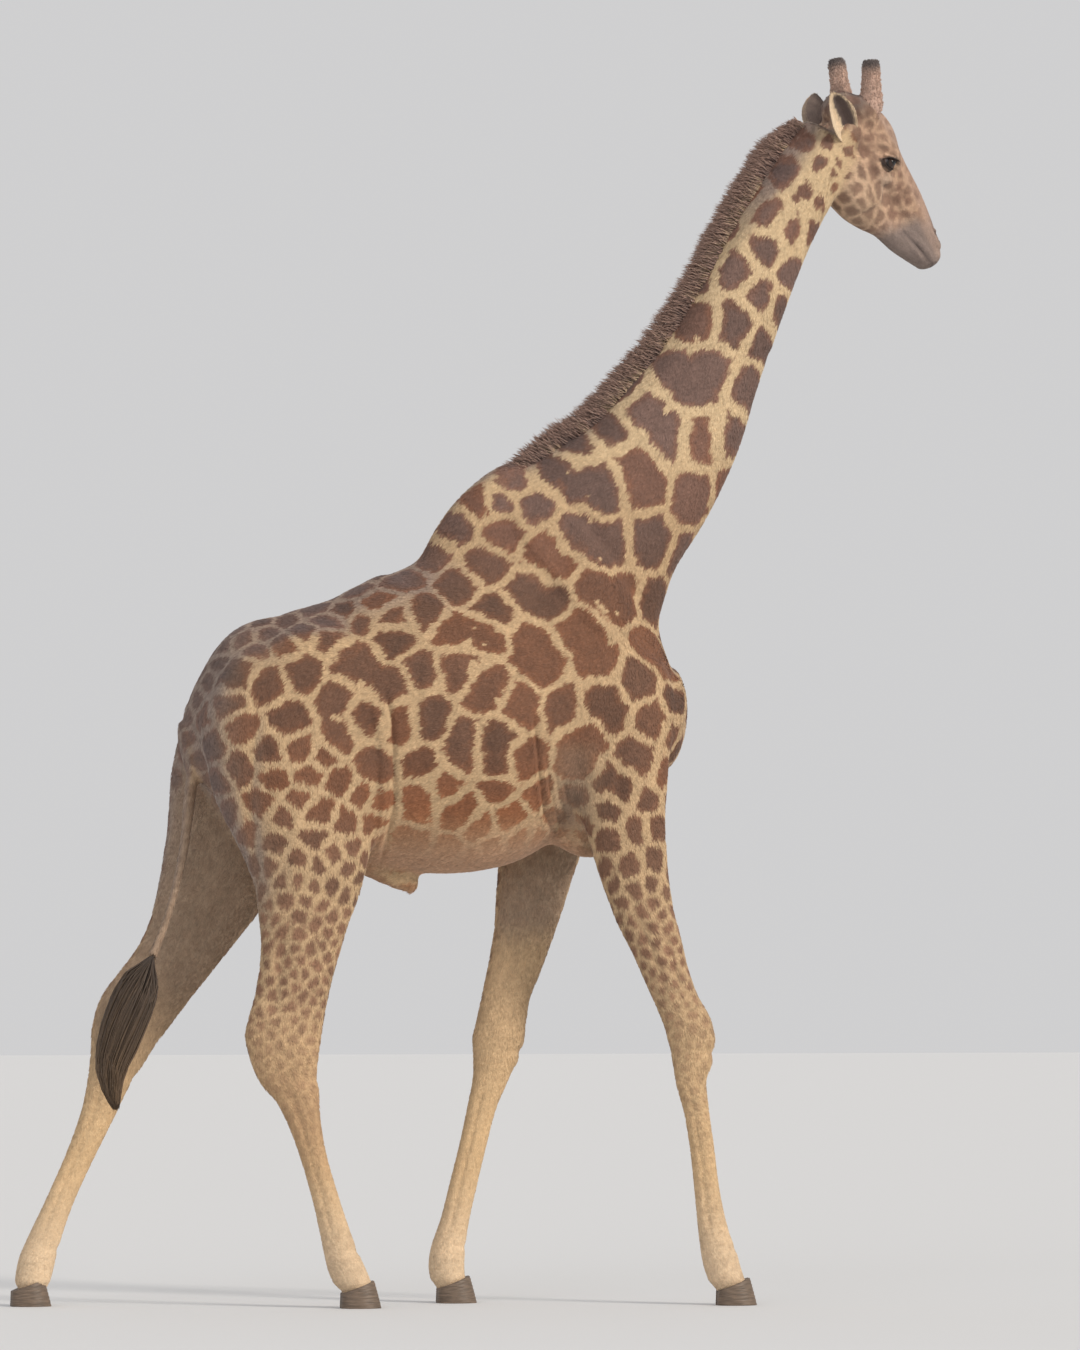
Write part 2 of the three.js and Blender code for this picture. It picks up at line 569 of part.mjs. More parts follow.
const boxOf = (low, high) => {
  const size = sub(high, low), mid = mix(low, high, 0.5);
  return toManifold(fromGeometry(new THREE.BoxGeometry(...size), (p) => add(p, mid)));
};

// ---------------------------------------------------------------- where the flesh is parted
// Seams seen from the side, as (x, z).
const HEAD_SEAM = [[1150, 4760], [1240, 4465], [1350, 4125], [1440, 3830]];
const NECK_SEAM = [[20, 3270], [110, 3172], [690, 2560], [860, 2380]];
const HEAD_SIDE = [...HEAD_SEAM, [2200, 3830], [2200, 4760]];
const NECK_SIDE = [...HEAD_SEAM, [1300, 2380], ...[...NECK_SEAM].reverse(), [20, 4760]];
const TRUNK_SIDE = [...NECK_SEAM, [1300, 1600], [-1500, 1100], [-1500, 3270]];
// Coronet lines: the leg stops here and the hoof takes over (heel to toe).
const FEET = {
  foreleg_right: { x: 958, y: -180 }, foreleg_left: { x: -44, y: 180 },
  hindleg_right: { x: -464, y: -183 }, hindleg_left: { x: -1652, y: 183 },
};
const coronet = (x) => HOOF_HEEL_HEIGHT
  + (HOOF_TOE_HEIGHT - HOOF_HEEL_HEIGHT) * ((x + 62) / 110);
const footLine = ({ x }, reach = 260) => [-reach, reach].map((d) => [x + d, coronet(d)]);
const LEG_OUTLINES = {
  foreleg_right: [[140, 1990], [255, 2290], [420, 2440], [600, 2310], [735, 2010], [980, 1500],
    [1250, 600], ...footLine(FEET.foreleg_right).reverse(), [560, 600], [480, 1500]],
  foreleg_left: [[60, 2000], [170, 2290], [340, 2440], [530, 2310], [640, 2010], [520, 1500],
    [330, 600], ...footLine(FEET.foreleg_left).reverse(), [-300, 600], [-40, 1500]],
  hindleg_right: [[-1250, 2120], [-1010, 2330], [-740, 2500], [-480, 2330], [-340, 2120],
    [-325, 1880], [-372, 1600], [-250, 900], ...footLine(FEET.hindleg_right).reverse(),
    [-950, 900], [-1020, 1600]],
  hindleg_left: [[-1380, 2120], [-1100, 2330], [-830, 2500], [-620, 2330], [-520, 2120],
    [-530, 1880], [-640, 1600], [-1000, 900], ...footLine(FEET.hindleg_left).reverse(),
    [-2050, 300], [-1800, 900], [-1500, 1600]],
};
const LEG_INNER = { foreleg: 62, hindleg: 52 };

function legPrism(name, grow = 0) {
  const inner = LEG_INNER[name.split('_')[0]];
  const [from, to] = name.endsWith('right') ? [-520, -inner] : [inner, 520];
  return prism(LEG_OUTLINES[name], from, to, grow);
}

const largest = (solid) => solid.decompose().sort((a, b) => b.volume() - a.volume())[0];
const allOf = (solids) => solids.reduce((s, v) => s.add(v));
const pieces = new Map();

// ---------------------------------------------------------------- flesh
const body = toManifold(simplify(
  meshField(FORMS, [-1900, -520, -60], [1900, 560, 4760], BODY_GRID), BODY_TRIANGLES));
const headFlesh = toManifold(simplify(
  meshField(FORMS, [1130, -180, 3800], [1980, 560, 4760], HEAD_GRID), HEAD_TRIANGLES));
const eyeAt = (m) => inHead([EYE_AT[0], EYE_AT[1], EYE_AT[2] * m]);
const eyeBall = (m, grow = 0) => toManifold(fromGeometry(
  new THREE.SphereGeometry(EYE_RADIUS + grow, 12, 8),
  ([x, y, z]) => add(add(add(eyeAt(m), LEFT, y * m), FACE, x), BROW, z)));

const legNames = Object.keys(LEG_OUTLINES);
const legZone = allOf(legNames.map((name) => legPrism(name, GAP)));
const belowHock = boxOf([-2200, -600, -100], [2200, 600, 1250]);
pieces.set('trunk', largest(body.intersect(prism(TRUNK_SIDE, -600, 600)).subtract(legZone)
  .subtract(belowHock)));
pieces.set('neck', largest(body.intersect(prism(NECK_SIDE, -600, 600, -GAP))));
const sockets = eyeBall(1, GAP).add(eyeBall(-1, GAP));
pieces.set('head', largest(headFlesh.intersect(prism(HEAD_SIDE, -600, 600)).subtract(sockets)));
for (const name of legNames) pieces.set(name, largest(body.intersect(legPrism(name))));
pieces.set('eye_right', eyeBall(-1));
pieces.set('eye_left', eyeBall(1));

// ---------------------------------------------------------------- hooves: two claws a foot
function claw(foot, m) {
  const count = 12;
  const rings = [0, 0.3, 0.65, 1].map((f) => {
    const long = (HOOF_LENGTH / 2) * (1 - 0.2 * f), wide = HOOF_HALF_WIDTH * (1 - 0.1 * f) - CLEFT;
    return Array.from({ length: count }, (_, i) => {
      const t = (2 * Math.PI * (i + 0.5)) / count;
      const along = Math.cos(t), out = Math.sin(t);
      const taper = 1 - 0.28 * Math.max(0, along) ** 2;
      const swell = out > 0 ? wide * taper * out ** 0.75 : -3 * Math.abs(out) * (1 - f);
      const x = along * long - 13 * f;
      const y = CLEFT + 3 + swell;
      return [foot.x + x, foot.y + m * y, f * (coronet(x) - (f === 1 ? GAP : 0))];
    });
  });
  return toManifold(loft(rings));
}
for (const [name, foot] of Object.entries(FEET)) {
  for (const [claws, m] of [['outer', Math.sign(foot.y)], ['inner', -Math.sign(foot.y)]]) {
    pieces.set(`hoof_${name.replace('leg', '')}_${claws}`, claw(foot, m));
  }
}

// ---------------------------------------------------------------- ears, ossicones
// Sets a piece on the flesh: trimmed by it, then slid clear by the gap.
const seat = (solid, flesh, away) => largest(solid.subtract(flesh)).translate(add([0, 0, 0], unit(away), GAP * 1.6));

// Leaf-shaped cup: root, tip, and the way its hollow faces, all in the head's frame.
function ear(root, tip, faces, length, broad) {
  const T = unit(sub(tip, root));
  const N = unit(add(faces, T, -dot(faces, T)));
  const W = cross(T, N);
  const rows = 9, across = 6;
  const rings = Array.from({ length: rows }, (_, r) => {
    const t = r / (rows - 1);
    const wide = broad * Math.sin(Math.PI * Math.min(1, 0.17 + 0.83 * t) ** 1.05) ** 0.7 + 5 - 2 * t;
    const cup = 30 * Math.sin(Math.PI * Math.min(1, 0.1 + 0.9 * t));
    const thick = 14 * (1 - t) ** 1.5 + 5;
    const middle = add(root, T, length * t);
    const point = (s, side) => {
      const lift = cup * (s * s - 0.5) + side * thick * 0.5 * (1 - 0.55 * s * s);
      return add(add(middle, W, wide * s), N, lift);
    };
    const line = Array.from({ length: across + 1 }, (_, i) => -1 + (2 * i) / across);
    return [...line.map((s) => point(s, 1)), ...line.reverse().map((s) => point(s, -1))];
  });
  return toManifold(loft(rings));
}
const headVector = (s, u, v) => sub(inHead([s, u, v]), HEAD_JOINT);
const EARS = {
  ear_right: { root: [26, 46, -74], tip: [-196, 26, -158], faces: [-0.15, -0.1, -1], broad: 60 },
  ear_left: { root: [22, 60, 74], tip: [-86, 216, 199], faces: [0.1, 0.1, 1], broad: 72 },
};
for (const [name, { root, tip, faces, broad }] of Object.entries(EARS)) {
  const solid = ear(inHead(root), inHead(tip), headVector(...faces), EAR_LENGTH, broad);
  pieces.set(name, seat(solid, headFlesh, sub(inHead(tip), inHead(root))));
}
for (const [name, m] of [['ossicone_right', -1], ['ossicone_left', 1]]) {
  const foot = OSSICONE[0], grown = OSSICONE_GROWTH[name];
  const rows = OSSICONE.map((r) => headRow(
    r.map((v, k) => (k < 3 ? foot[k] + (v - foot[k]) * grown : v)), m));
  const solid = toManifold(loftTube(rows, 12, 1, LEFT));
  const away = sub(rows[rows.length - 1].slice(0, 3), rows[0].slice(0, 3));
  pieces.set(name, seat(solid, headFlesh, away));
}

// ---------------------------------------------------------------- mane
// A ridge along the crest of the neck, from the poll to the withers.
const crest = sampleTube(NECK, SIDE, 2).slice(1);
const ridge = crest.map((s, i) => {
  const t = i / (crest.length - 1);
  const up = s.U[2] > 0 ? 1 : -1;
  const height = 26 + MANE_HEIGHT * Math.min(1, t * 5) * Math.min(1, (1 - t) * 6 + 0.3);
  const wide = 24 + 8 * (1 - t);
  const base = add(s.c, s.U, up * s.a);
  const point = (v, h) => add(add(base, s.V, v), s.U, up * h);
  return [point(wide, -26), point(wide, 4), point(wide * 0.7, height * 0.7), point(wide * 0.25, height),
    point(-wide * 0.25, height), point(-wide * 0.7, height * 0.7), point(-wide, 4), point(-wide, -26)];
});
pieces.set('mane', seat(toManifold(loft(ridge)), body.add(headFlesh), [-0.8, 0, 0.6]));

// ---------------------------------------------------------------- tail
pieces.set('tail', seat(toManifold(loftTube(TAIL, 8, 2, SIDE)), body, [-1, 0, -0.3]));
const tuft = toManifold(loftTube(TUFT, 8, 1, SIDE));
pieces.set('tail_tuft', seat(tuft, pieces.get('tail'), [-0.4, 0, -1]));

// ---------------------------------------------------------------- the model
const COAT = { color: 0xb08a62, roughness: 0.92, metalness: 0 };
const LOOKS = [
  [/^eye/, { color: 0x17100c, roughness: 0.12, metalness: 0 }],
  [/^hoof/, { color: 0x4a4038, roughness: 0.6, metalness: 0 }],
  [/^mane/, { color: 0x6d4a36, roughness: 0.95, metalness: 0 }],
  [/^tail_tuft/, { color: 0x1f1a1a, roughness: 0.85, metalness: 0 }],
  [/^ossicone/, { color: 0x7d6654, roughness: 0.9, metalness: 0 }],
  [/^ear/, { color: 0xa98c6c, roughness: 0.92, metalness: 0 }],
  [/./, COAT],
];
const group = new THREE.Group();
group.name = 'giraffe';
for (const [name, solid] of pieces) {
  const { vertProperties, triVerts } = solid.getMesh();
  const geometry = new THREE.BufferGeometry();
  geometry.setAttribute('position', new THREE.BufferAttribute(new Float32Array(vertProperties), 3));
  geometry.setIndex(new THREE.BufferAttribute(new Uint32Array(triVerts), 1));
  geometry.computeVertexNormals();
  const look = LOOKS.find(([pattern]) => pattern.test(name))[1];
  const mesh = new THREE.Mesh(geometry, new THREE.MeshStandardMaterial(look));
  mesh.name = name;
  group.add(mesh);
}

// The middle of the underside of the whole model is the origin.
const bounds = new THREE.Box3().setFromObject(group);
const middle = bounds.getCenter(new THREE.Vector3());
for (const mesh of group.children) mesh.geometry.translate(-middle.x, -middle.y, -bounds.min.z);

export default group;
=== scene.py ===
"""Looks of the giraffe: one skin over the flesh, a short coat laid along it in tufts, and finer
eyes, ossicones, hooves, mane and tail. The body's plan (mm) is the one its solids were grown from."""
import math
import bmesh
import bpy
import numpy as np
from mathutils import Matrix, Vector
from mathutils.bvhtree import BVHTree

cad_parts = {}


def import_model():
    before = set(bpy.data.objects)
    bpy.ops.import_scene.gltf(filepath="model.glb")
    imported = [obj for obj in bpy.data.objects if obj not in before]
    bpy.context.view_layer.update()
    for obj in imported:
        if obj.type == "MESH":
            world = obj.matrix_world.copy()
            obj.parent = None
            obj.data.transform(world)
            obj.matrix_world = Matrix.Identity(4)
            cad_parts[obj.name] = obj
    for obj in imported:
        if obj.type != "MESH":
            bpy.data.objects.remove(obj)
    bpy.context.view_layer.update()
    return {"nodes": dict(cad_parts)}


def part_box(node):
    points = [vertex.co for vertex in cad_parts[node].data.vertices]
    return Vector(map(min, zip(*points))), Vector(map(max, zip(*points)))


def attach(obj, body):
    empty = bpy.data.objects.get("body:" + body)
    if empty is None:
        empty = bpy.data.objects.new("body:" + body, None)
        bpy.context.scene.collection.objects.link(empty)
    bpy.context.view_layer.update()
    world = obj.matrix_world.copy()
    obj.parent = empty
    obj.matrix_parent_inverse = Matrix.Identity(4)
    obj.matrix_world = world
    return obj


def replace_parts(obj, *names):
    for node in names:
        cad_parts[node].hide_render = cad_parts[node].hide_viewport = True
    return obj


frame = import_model()
nodes = frame["nodes"]
rng = np.random.default_rng(11)

# ------------------------------------------------------------------ sizes (mm unless said)
HOOF_LENGTH, HOOF_HALF_WIDTH, HOOF_TOE, HOOF_HEEL, CLEFT = 152, 60, 104, 62, 7
VOXEL = 20                # first mesh of the skin; refined to 10, 5 and 2.5 where it matters
COAT_DEPTH = 7            # how far the skin lies inside the solids
HEAD_DEPTH = 4
LOWEST = 14               # the skin's feet end here, inside the hooves
HEAD_FROM = 3600          # no part of the head is lower than this
TUFTS = {"trunk": 128000, "neck": 60000, "forelegs": 54000, "hindlegs": 56000, "head": 56000}
HEAD_JOINT = np.array([1366.0, 120.0, 4406.0])
HEAD_YAW, HEAD_PITCH = math.radians(27), math.radians(51)
EYE_AT = (206, 129, 96)
EYE_RADIUS = 30


def table(text):
    """Rows of numbers, with a comma between rows."""
    return [[float(number) for number in row.split()] for row in text.split(",")]


# Tube rows: x, y, z, half-depth, half-width.
BARREL = table("""-1085 0 2090 105 85, -1005 0 2106 246 165, -915 0 2118 376 222, -820 0 2124 441 258,
    -690 0 2123 470 290, -480 0 2143 507 320, -290 0 2172 560 345, -100 0 2190 580 352, 90 0 2212 562 335,
    280 0 2226 496 295, 470 0 2222 470 240, 625 0 2205 347 215, 722 0 2196 200 168""")
NECK = table("""160 0 2455 500 215, 298 0 2690 442 200, 470 0 2924 352 178, 645 5 3112 292 158,
    788 15 3324 252 136, 901 30 3529 205 118, 1021 50 3771 172 104, 1126 70 3994 157 95,
    1215 88 4153 147 90, 1296 104 4282 142 86, 1376 120 4398 130 82""")
FORELEG_RIGHT = table("""470 -180 2320 232 85, 500 -200 2035 205 92, 530 -205 1810 160 88,
    560 -205 1640 138 80, 600 -204 1480 118 72, 650 -199 1350 102 64, 690 -195 1235 90 58,
    735 -192 1125 85 56, 782 -190 1025 90 60, 787 -189 915 78 53, 785 -188 835 62 43, 805 -187 725 51 39,
    828 -185 575 49 38, 846 -183 425 51 39, 870 -181 275 60 45, 893 -180 185 70 54, 910 -180 125 69 56,
    935 -180 60 66 56, 955 -180 5 60 50""")
FORELEG_LEFT = table("""420 180 2320 232 85, 360 200 2010 205 92, 300 205 1790 170 88, 265 205 1640 152 80,
    238 204 1500 135 72, 212 200 1380 118 64, 182 196 1270 106 59, 150 192 1165 96 56, 126 190 1040 98 60,
    108 189 945 92 56, 85 188 840 70 45, 55 187 740 58 39, 20 185 595 54 38, -15 183 455 55 39,
    -50 181 310 57 45, -75 180 205 68 54, -82 180 135 71 56, -70 180 65 66 56, -52 180 5 60 50""")
HINDLEG_RIGHT = table("""-745 -160 2200 320 115, -705 -190 1965 325 128, -675 -205 1745 262 116,
    -668 -208 1590 214 102, -680 -206 1470 182 88, -692 -203 1355 157 76, -710 -200 1245 143 67,
    -732 -197 1130 140 61, -755 -195 1005 144 59, -742 -194 895 124 55, -706 -193 800 90 47,
    -675 -192 685 64 42, -640 -190 555 52 40, -592 -187 390 53 41, -550 -185 240 62 47, -524 -184 160 69 54,
    -496 -183 100 68 55, -474 -183 50 65 55, -460 -183 5 60 50""")
HINDLEG_LEFT = table("""-838 160 2190 252 115, -855 190 1965 278 128, -902 205 1745 250 116,
    -960 208 1590 218 102, -1018 206 1465 184 88, -1078 203 1352 157 76, -1145 200 1250 143 67,
    -1210 197 1165 142 61, -1278 195 1070 140 59, -1322 194 950 112 54, -1362 193 835 83 47,
    -1402 192 715 66 42, -1468 190 560 55 40, -1545 187 388 54 41, -1605 185 240 64 47, -1632 184 160 71 54,
    -1645 183 100 69 55, -1648 183 50 66 55, -1650 183 5 60 50""")
TAIL = table("""-1000 0 2170 46 42, -1040 0 2100 38 34, -1066 -5 2010 30 27, -1084 -10 1880 25 23,
    -1103 -15 1720 23 21, -1133 -15 1570 21 19, -1175 -15 1425 20 18, -1222 -15 1305 22 20""")
TUFT = table("""-1222 -15 1305 19 17, -1248 -15 1250 56 46, -1285 -15 1165 80 64, -1325 -15 1065 82 66,
    -1355 -15 975 76 60, -1375 -15 900 62 50, -1375 -15 830 44 36, -1365 -15 770 26 22,
    -1358 -15 735 9 8""")
# Rows in the head's frame: along the face, towards the forehead, sideways.
SKULL = table("""-70 124 0 74 72, -15 142 0 96 88, 55 150 0 108 96, 130 150 0 114 99, 205 148 0 110 98,
    275 148 0 104 90, 345 152 0 98 79, 415 155 0 91 70, 515 152 0 76 63, 575 144 0 63 62, 618 132 0 51 60,
    645 122 0 42 54""")
JAW = table("""110 28 0 96 74, 180 0 0 108 80, 248 -12 0 106 78, 325 8 0 93 66, 410 38 0 72 53,
    500 60 0 65 47, 562 80 0 57 46, 618 95 0 44 44, 645 103 0 33 37""")
OSSICONE = table("""30 160 64 42 40, -8 206 82 49 45, -46 235 90 41 39, -82 259 95 36 35, -113 280 99 34 33,
    -134 293 102 32 31, -147 301 104 25 24, -154 305 105 10 10""")
OSSICONE_GROWTH = {"right": 0.965, "left": 1.065}
SHEATH = table("""-450 0 1690 60 52, -370 0 1640 58 46, -295 0 1592 42 36, -238 0 1568 36 32""")

# ------------------------------------------------------------------ vectors and frames
def unit(v):
    v = np.asarray(v, float)
    return v / np.maximum(np.linalg.norm(v, axis=-1, keepdims=True), 1e-9)


def smooth(low, high, x):
    t = np.clip((x - low) / (high - low), 0, 1)
    return t * t * (3 - 2 * t)


def mix(a, b, t):
    """From a to b, by one share or a share for each point; colours and places have three numbers."""
    t = np.asarray(t, float)
    return a + (b - a) * (t[:, None] if t.ndim and np.shape(a + b)[-1:] == (3,) else t)


SIDE = np.array([0.0, 1.0, 0.0])
FACE = np.array([math.cos(HEAD_PITCH) * math.cos(HEAD_YAW),
                 math.cos(HEAD_PITCH) * math.sin(HEAD_YAW), -math.sin(HEAD_PITCH)])
LEFT = np.array([-math.sin(HEAD_YAW), math.cos(HEAD_YAW), 0.0])
BROW = np.cross(FACE, LEFT)
HEAD_AXES = np.array([FACE, BROW, LEFT])


def in_head(suv, side=1):
    """From the head's frame (along the face, up, out) to the plan, on its left or its right (-1)."""
    return HEAD_JOINT + (np.asarray(suv, float) * [1, 1, side]) @ HEAD_AXES


def head_coords(p):
    return (p - HEAD_JOINT) @ HEAD_AXES.T


# Plan mm to the frame's metres: the eye's centre is known in both.
_low, _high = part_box("eye_right")
SHIFT = in_head(EYE_AT, -1) - 500 * (np.array(_low) + np.array(_high))
SHIFT[2] = 0


def plan(p):
    return np.asarray(p, float) * 1000 + SHIFT


def world(p):
    return (np.asarray(p, float) - SHIFT) / 1000


# ------------------------------------------------------------------ the body as a field
FAR = 1e3                 # a distance (mm) beyond the reach of any form


def sample_tube(rows, side=SIDE, steps=5):
    rows = np.array(rows, float)
    last = len(rows) - 1
    out = []
    for i in range(last):
        p0, p1, p2, p3 = (rows[min(max(k, 0), last)] for k in (i - 1, i, i + 1, i + 2))
        for t in np.arange(steps) / steps:
            out.append(p1 + 0.5 * t * (p2 - p0 + t * (2 * p0 - 5 * p1 + 4 * p2 - p3
                                                     + t * (3 * (p1 - p2) + p3 - p0))))
    s = np.array(out + [rows[-1]])
    c = s[:, :3]
    T = unit(np.vstack([c[1:], c[-1:]]) - np.vstack([c[:1], c[:-1]]))
    V = unit(side - T * (T @ side)[:, None])
    return {"c": c, "a": s[:, 3], "b": s[:, 4], "T": T, "V": V, "U": np.cross(V, T)}


def head_rows(rows, side=1):
    return [[*in_head(r[:3], side), *r[3:]] for r in rows]


class Tube:
    def __init__(self, name, rows, side=SIDE, blend=60, caps=(60, 60)):
        self.name, self.blend, self.caps = name, blend, caps
        self.__dict__.update(sample_tube(rows, side))
        gaps = np.linalg.norm(np.diff(self.c, axis=0), axis=1)
        self.long = np.concatenate([[0], np.cumsum(gaps)])

    def near(self, p, margin=25, reach=160):
        """For each link, the points it may own."""
        along = p @ self.T.T - (self.c * self.T).sum(1)
        out, last = [], len(self.c) - 2
        for i in range(last + 1):
            size = max(*self.a[i:i + 2], *self.b[i:i + 2]) + reach
            size += np.linalg.norm(self.c[i + 1] - self.c[i])
            before = margin if i else self.caps[0] + reach
            after = margin if i < last else self.caps[1] + reach
            ids = np.flatnonzero((along[:, i] > -before) & (along[:, i + 1] < after))
            out.append(ids[((p[ids] - self.c[i]) ** 2).sum(1) < size * size])
        return out

    def value(self, p, near, full=False):
        """Distance to the surface, less than 0 inside; in full, also each point's length along the
        tube, its parts of the depth and of the width, and its link."""
        g = np.full(len(p), FAR)
        extra = np.zeros((len(p), 4))
        for i, ids in enumerate(near):
            x = p[ids] - self.c[i]
            d = self.c[i + 1] - self.c[i]
            before, after = x @ self.T[i], (x - d) @ self.T[i + 1]
            span = before - after
            t = before / np.where(np.abs(span) < 1e-9, 1e-9, span)
            inside = (t >= 0) & (t <= 1)
            far = np.abs(after) < np.abs(before)
            cap = np.where(far, self.caps[1] if i == len(near) - 1 else 0, 0 if i else self.caps[0])
            cap = np.where(inside, 1.0, cap)
            w = np.where(inside, 0.0, np.where(far, after, before))
            t = np.where(inside, t, far.astype(float))
            share = t[:, None]
            y = x - d * share
            u, v = ((y * (side[i] * (1 - share) + side[i + 1] * share)).sum(1) for side in (self.U, self.V))
            a, b = (mix(radius[i], radius[i + 1], t) for radius in (self.a, self.b))
            ua, vb, wc = u / a, v / b, w / np.maximum(cap, 1e-6)
            rho = np.sqrt(ua * ua + vb * vb + wc * wc)
            slope = np.sqrt((ua / a) ** 2 + (vb / b) ** 2 + (wc / np.maximum(cap, 1e-6)) ** 2)
            slope = np.where(slope < 1e-9, 1 / np.minimum(a, b), slope)
            f = np.where(cap > 0, (rho - 1) * np.maximum(rho, 0.05) / slope, FAR)
            better = f < g[ids]
            g[ids[better]] = f[better]
            at = mix(self.long[i], self.long[i + 1], t)
            extra[ids[better]] = np.stack([at, ua, vb, np.full(len(t), i)], 1)[better]
        return (g, extra) if full else g


class Ball:
    def __init__(self, at, radii, blend=60, axes=((1, 0, 0), (0, 0, 1), (0, 1, 0))):
        self.at, self.radii, self.axes = (np.array(v, float) for v in (at, radii, axes))
        self.blend = blend

    def near(self, p, reach=160):
        return [np.flatnonzero(((p - self.at) ** 2).sum(1) < (self.radii.max() + reach) ** 2)]

    def value(self, p, near):
        g = np.full(len(p), FAR)
        ids = near[0]
        q = (p[ids] - self.at) @ self.axes.T / self.radii
        rho = np.sqrt((q * q).sum(1))
        slope = np.sqrt(((q / self.radii) ** 2).sum(1))
        g[ids] = (rho - 1) * np.maximum(rho, 0.05) / np.maximum(slope, 1e-6)
        return g


def both(x, y, z, radii, blend):
    return [Ball([x, side * y, z], radii, blend) for side in (-1, 1)]


def head_ball(suv, radii, blend):
    return [Ball(in_head(suv, side), radii, blend, HEAD_AXES) for side in ((1, -1) if suv[2] else (1,))]


TUBES = {t.name: t for t in (
    Tube("barrel", BARREL, blend=90, caps=(40, 82)),
    Tube("neck", NECK, blend=100, caps=(60, 40)),
    Tube("fore_right", FORELEG_RIGHT, blend=70, caps=(120, 30)),
    Tube("fore_left", FORELEG_LEFT, blend=70, caps=(120, 30)),
    Tube("hind_right", HINDLEG_RIGHT, blend=70, caps=(160, 30)),
    Tube("hind_left", HINDLEG_LEFT, blend=70, caps=(160, 30)),
    Tube("tail", TAIL, blend=40, caps=(40, 20)),
    Tube("skull", head_rows(SKULL), LEFT, 45, (45, 34)),
    Tube("jaw", head_rows(JAW), LEFT, 34, (60, 24)),
)}
# Swellings of the head on both sides, or on the middle line: place, radii and blend.
HEAD_SWELLINGS = table("""118 222 0 92 58 60 50, -4 180 74 64 56 50 36, 196 168 80 66 30 36 26,
    212 92 84 66 34 26 30, 215 -6 58 100 82 36 40, 20 62 62 60 58 46 40, 600 168 36 44 21 24 18,
    652 128 20 22 42 34 20""")
FORMS = [*TUBES.values(),
         Ball([1, 0, 2979], [230, 80, 75], 100, ((0.68, 0, 0.73), (-0.73, 0, 0.68), (0, 1, 0))),
         *both(400, 195, 2480, [130, 300, 66], 110), *both(575, 125, 2190, [130, 140, 90], 100),
         *both(-650, 200, 2400, [150, 110, 70], 120),
         Ball([430, 0, 1800], [140, 130, 120], 70), Tube("sheath", SHEATH, blend=60, caps=(40, 22)),
         *both(-870, 165, 2180, [150, 240, 90], 80),
         *(ball for row in HEAD_SWELLINGS for ball in head_ball(row[:3], row[3:6], row[6]))]


class Field:
    """Signed distance to the body, for points that stay near where they started."""
    def __init__(self, p):
        self.near = [form.near(p) for form in FORMS]

    def value(self, p):
        f = np.full(len(p), FAR)
        for form, near in zip(FORMS, self.near):
            ids = np.unique(np.concatenate(near))
            g, k = form.value(p, near)[ids], form.blend
            h = np.maximum(k - np.abs(f[ids] - g), 0) / k
            f[ids] = np.minimum(f[ids], g) - h * h * k * 0.25
        return f

    def gradient(self, p, f, e=2.0):
        return np.stack([(self.value(p + np.eye(3)[k] * e) - f) / e for k in range(3)], 1)


# ------------------------------------------------------------------ the photo's camera
# The lens stands far off to the animal's right and a little behind square.
TURN, TILT, FOCAL = math.radians(10), math.radians(1.83), 8000
CAM_RIGHT = np.array([math.cos(TURN), -math.sin(TURN), 0])
CAM_AHEAD = np.array([math.sin(TURN), math.cos(TURN), 0])
CAM_AT = CAM_RIGHT * 240 - CAM_AHEAD * 30000 + np.array([0, 0, 1400])
CAM_LOOK = CAM_AHEAD * math.cos(TILT) + np.array([0, 0, math.sin(TILT)])
CAM_UP = np.cross(CAM_RIGHT, CAM_LOOK)
PICTURE = (1080, 1350)


def sight(px, py):
    """Direction in which the camera sees a place in the picture."""
    return unit(CAM_LOOK + CAM_RIGHT * (px - PICTURE[0] / 2) / FOCAL
                + CAM_UP * (PICTURE[1] / 2 - py) / FOCAL)


# ------------------------------------------------------------------ meshes
def numbers(items, name, kind=np.float32, width=3):
    out = np.empty(len(items) * width, kind)
    items.foreach_get(name, out)
    return out.reshape(-1, width)


def points_of(me):
    return numbers(me.vertices, "co").astype(float)


def put_points(me, p):
    me.vertices.foreach_set("co", np.ascontiguousarray(p, np.float32).ravel())
    me.update()


def make_mesh(name, verts, faces):
    """A mesh from numpy points and equal-sided faces."""
    faces = np.asarray(faces, np.int32)
    me = bpy.data.meshes.new(name)
    me.vertices.add(len(verts))
    me.vertices.foreach_set("co", np.ascontiguousarray(verts, np.float32).ravel())
    me.loops.add(faces.size)
    me.loops.foreach_set("vertex_index", faces.ravel())
    me.polygons.add(len(faces))
    me.polygons.foreach_set("loop_start", np.arange(len(faces), dtype=np.int32) * faces.shape[1])
    me.polygons.foreach_set("use_smooth", np.ones(len(faces), bool))
    me.update(calc_edges=True)
    me.validate()
    return me


def add_object(name, me, material, slot=None):
    ob = bpy.data.objects.new(name, me)
    bpy.context.scene.collection.objects.link(ob)
    me.materials.clear()
    me.materials.append(material)
    if slot:
        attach(ob, "root")
    return ob


def paint_mesh(me, colours):
    layer = me.color_attributes.new("Col", "FLOAT_COLOR", "POINT")
    rgba = np.ones((len(colours), 4), np.float32)
    rgba[:, :3] = colours
    layer.data.foreach_set("color", rgba.ravel())


def lay_out(me, uv):
    me.uv_layers.new(name="OFBake").data.foreach_set("uv", uv.astype(np.float32).ravel())


def edit(me, work):
    """Lets work change a mesh through bmesh."""
    bm = bmesh.new()
    bm.from_mesh(me)
    work(bm)
    bm.to_mesh(me)
    bm.free()


FLESH = ["trunk", "neck", "head", "foreleg_right", "foreleg_left", "hindleg_right",
         "hindleg_left", "tail"]
HOOVES = sorted(n for n in nodes if n.startswith("hoof"))


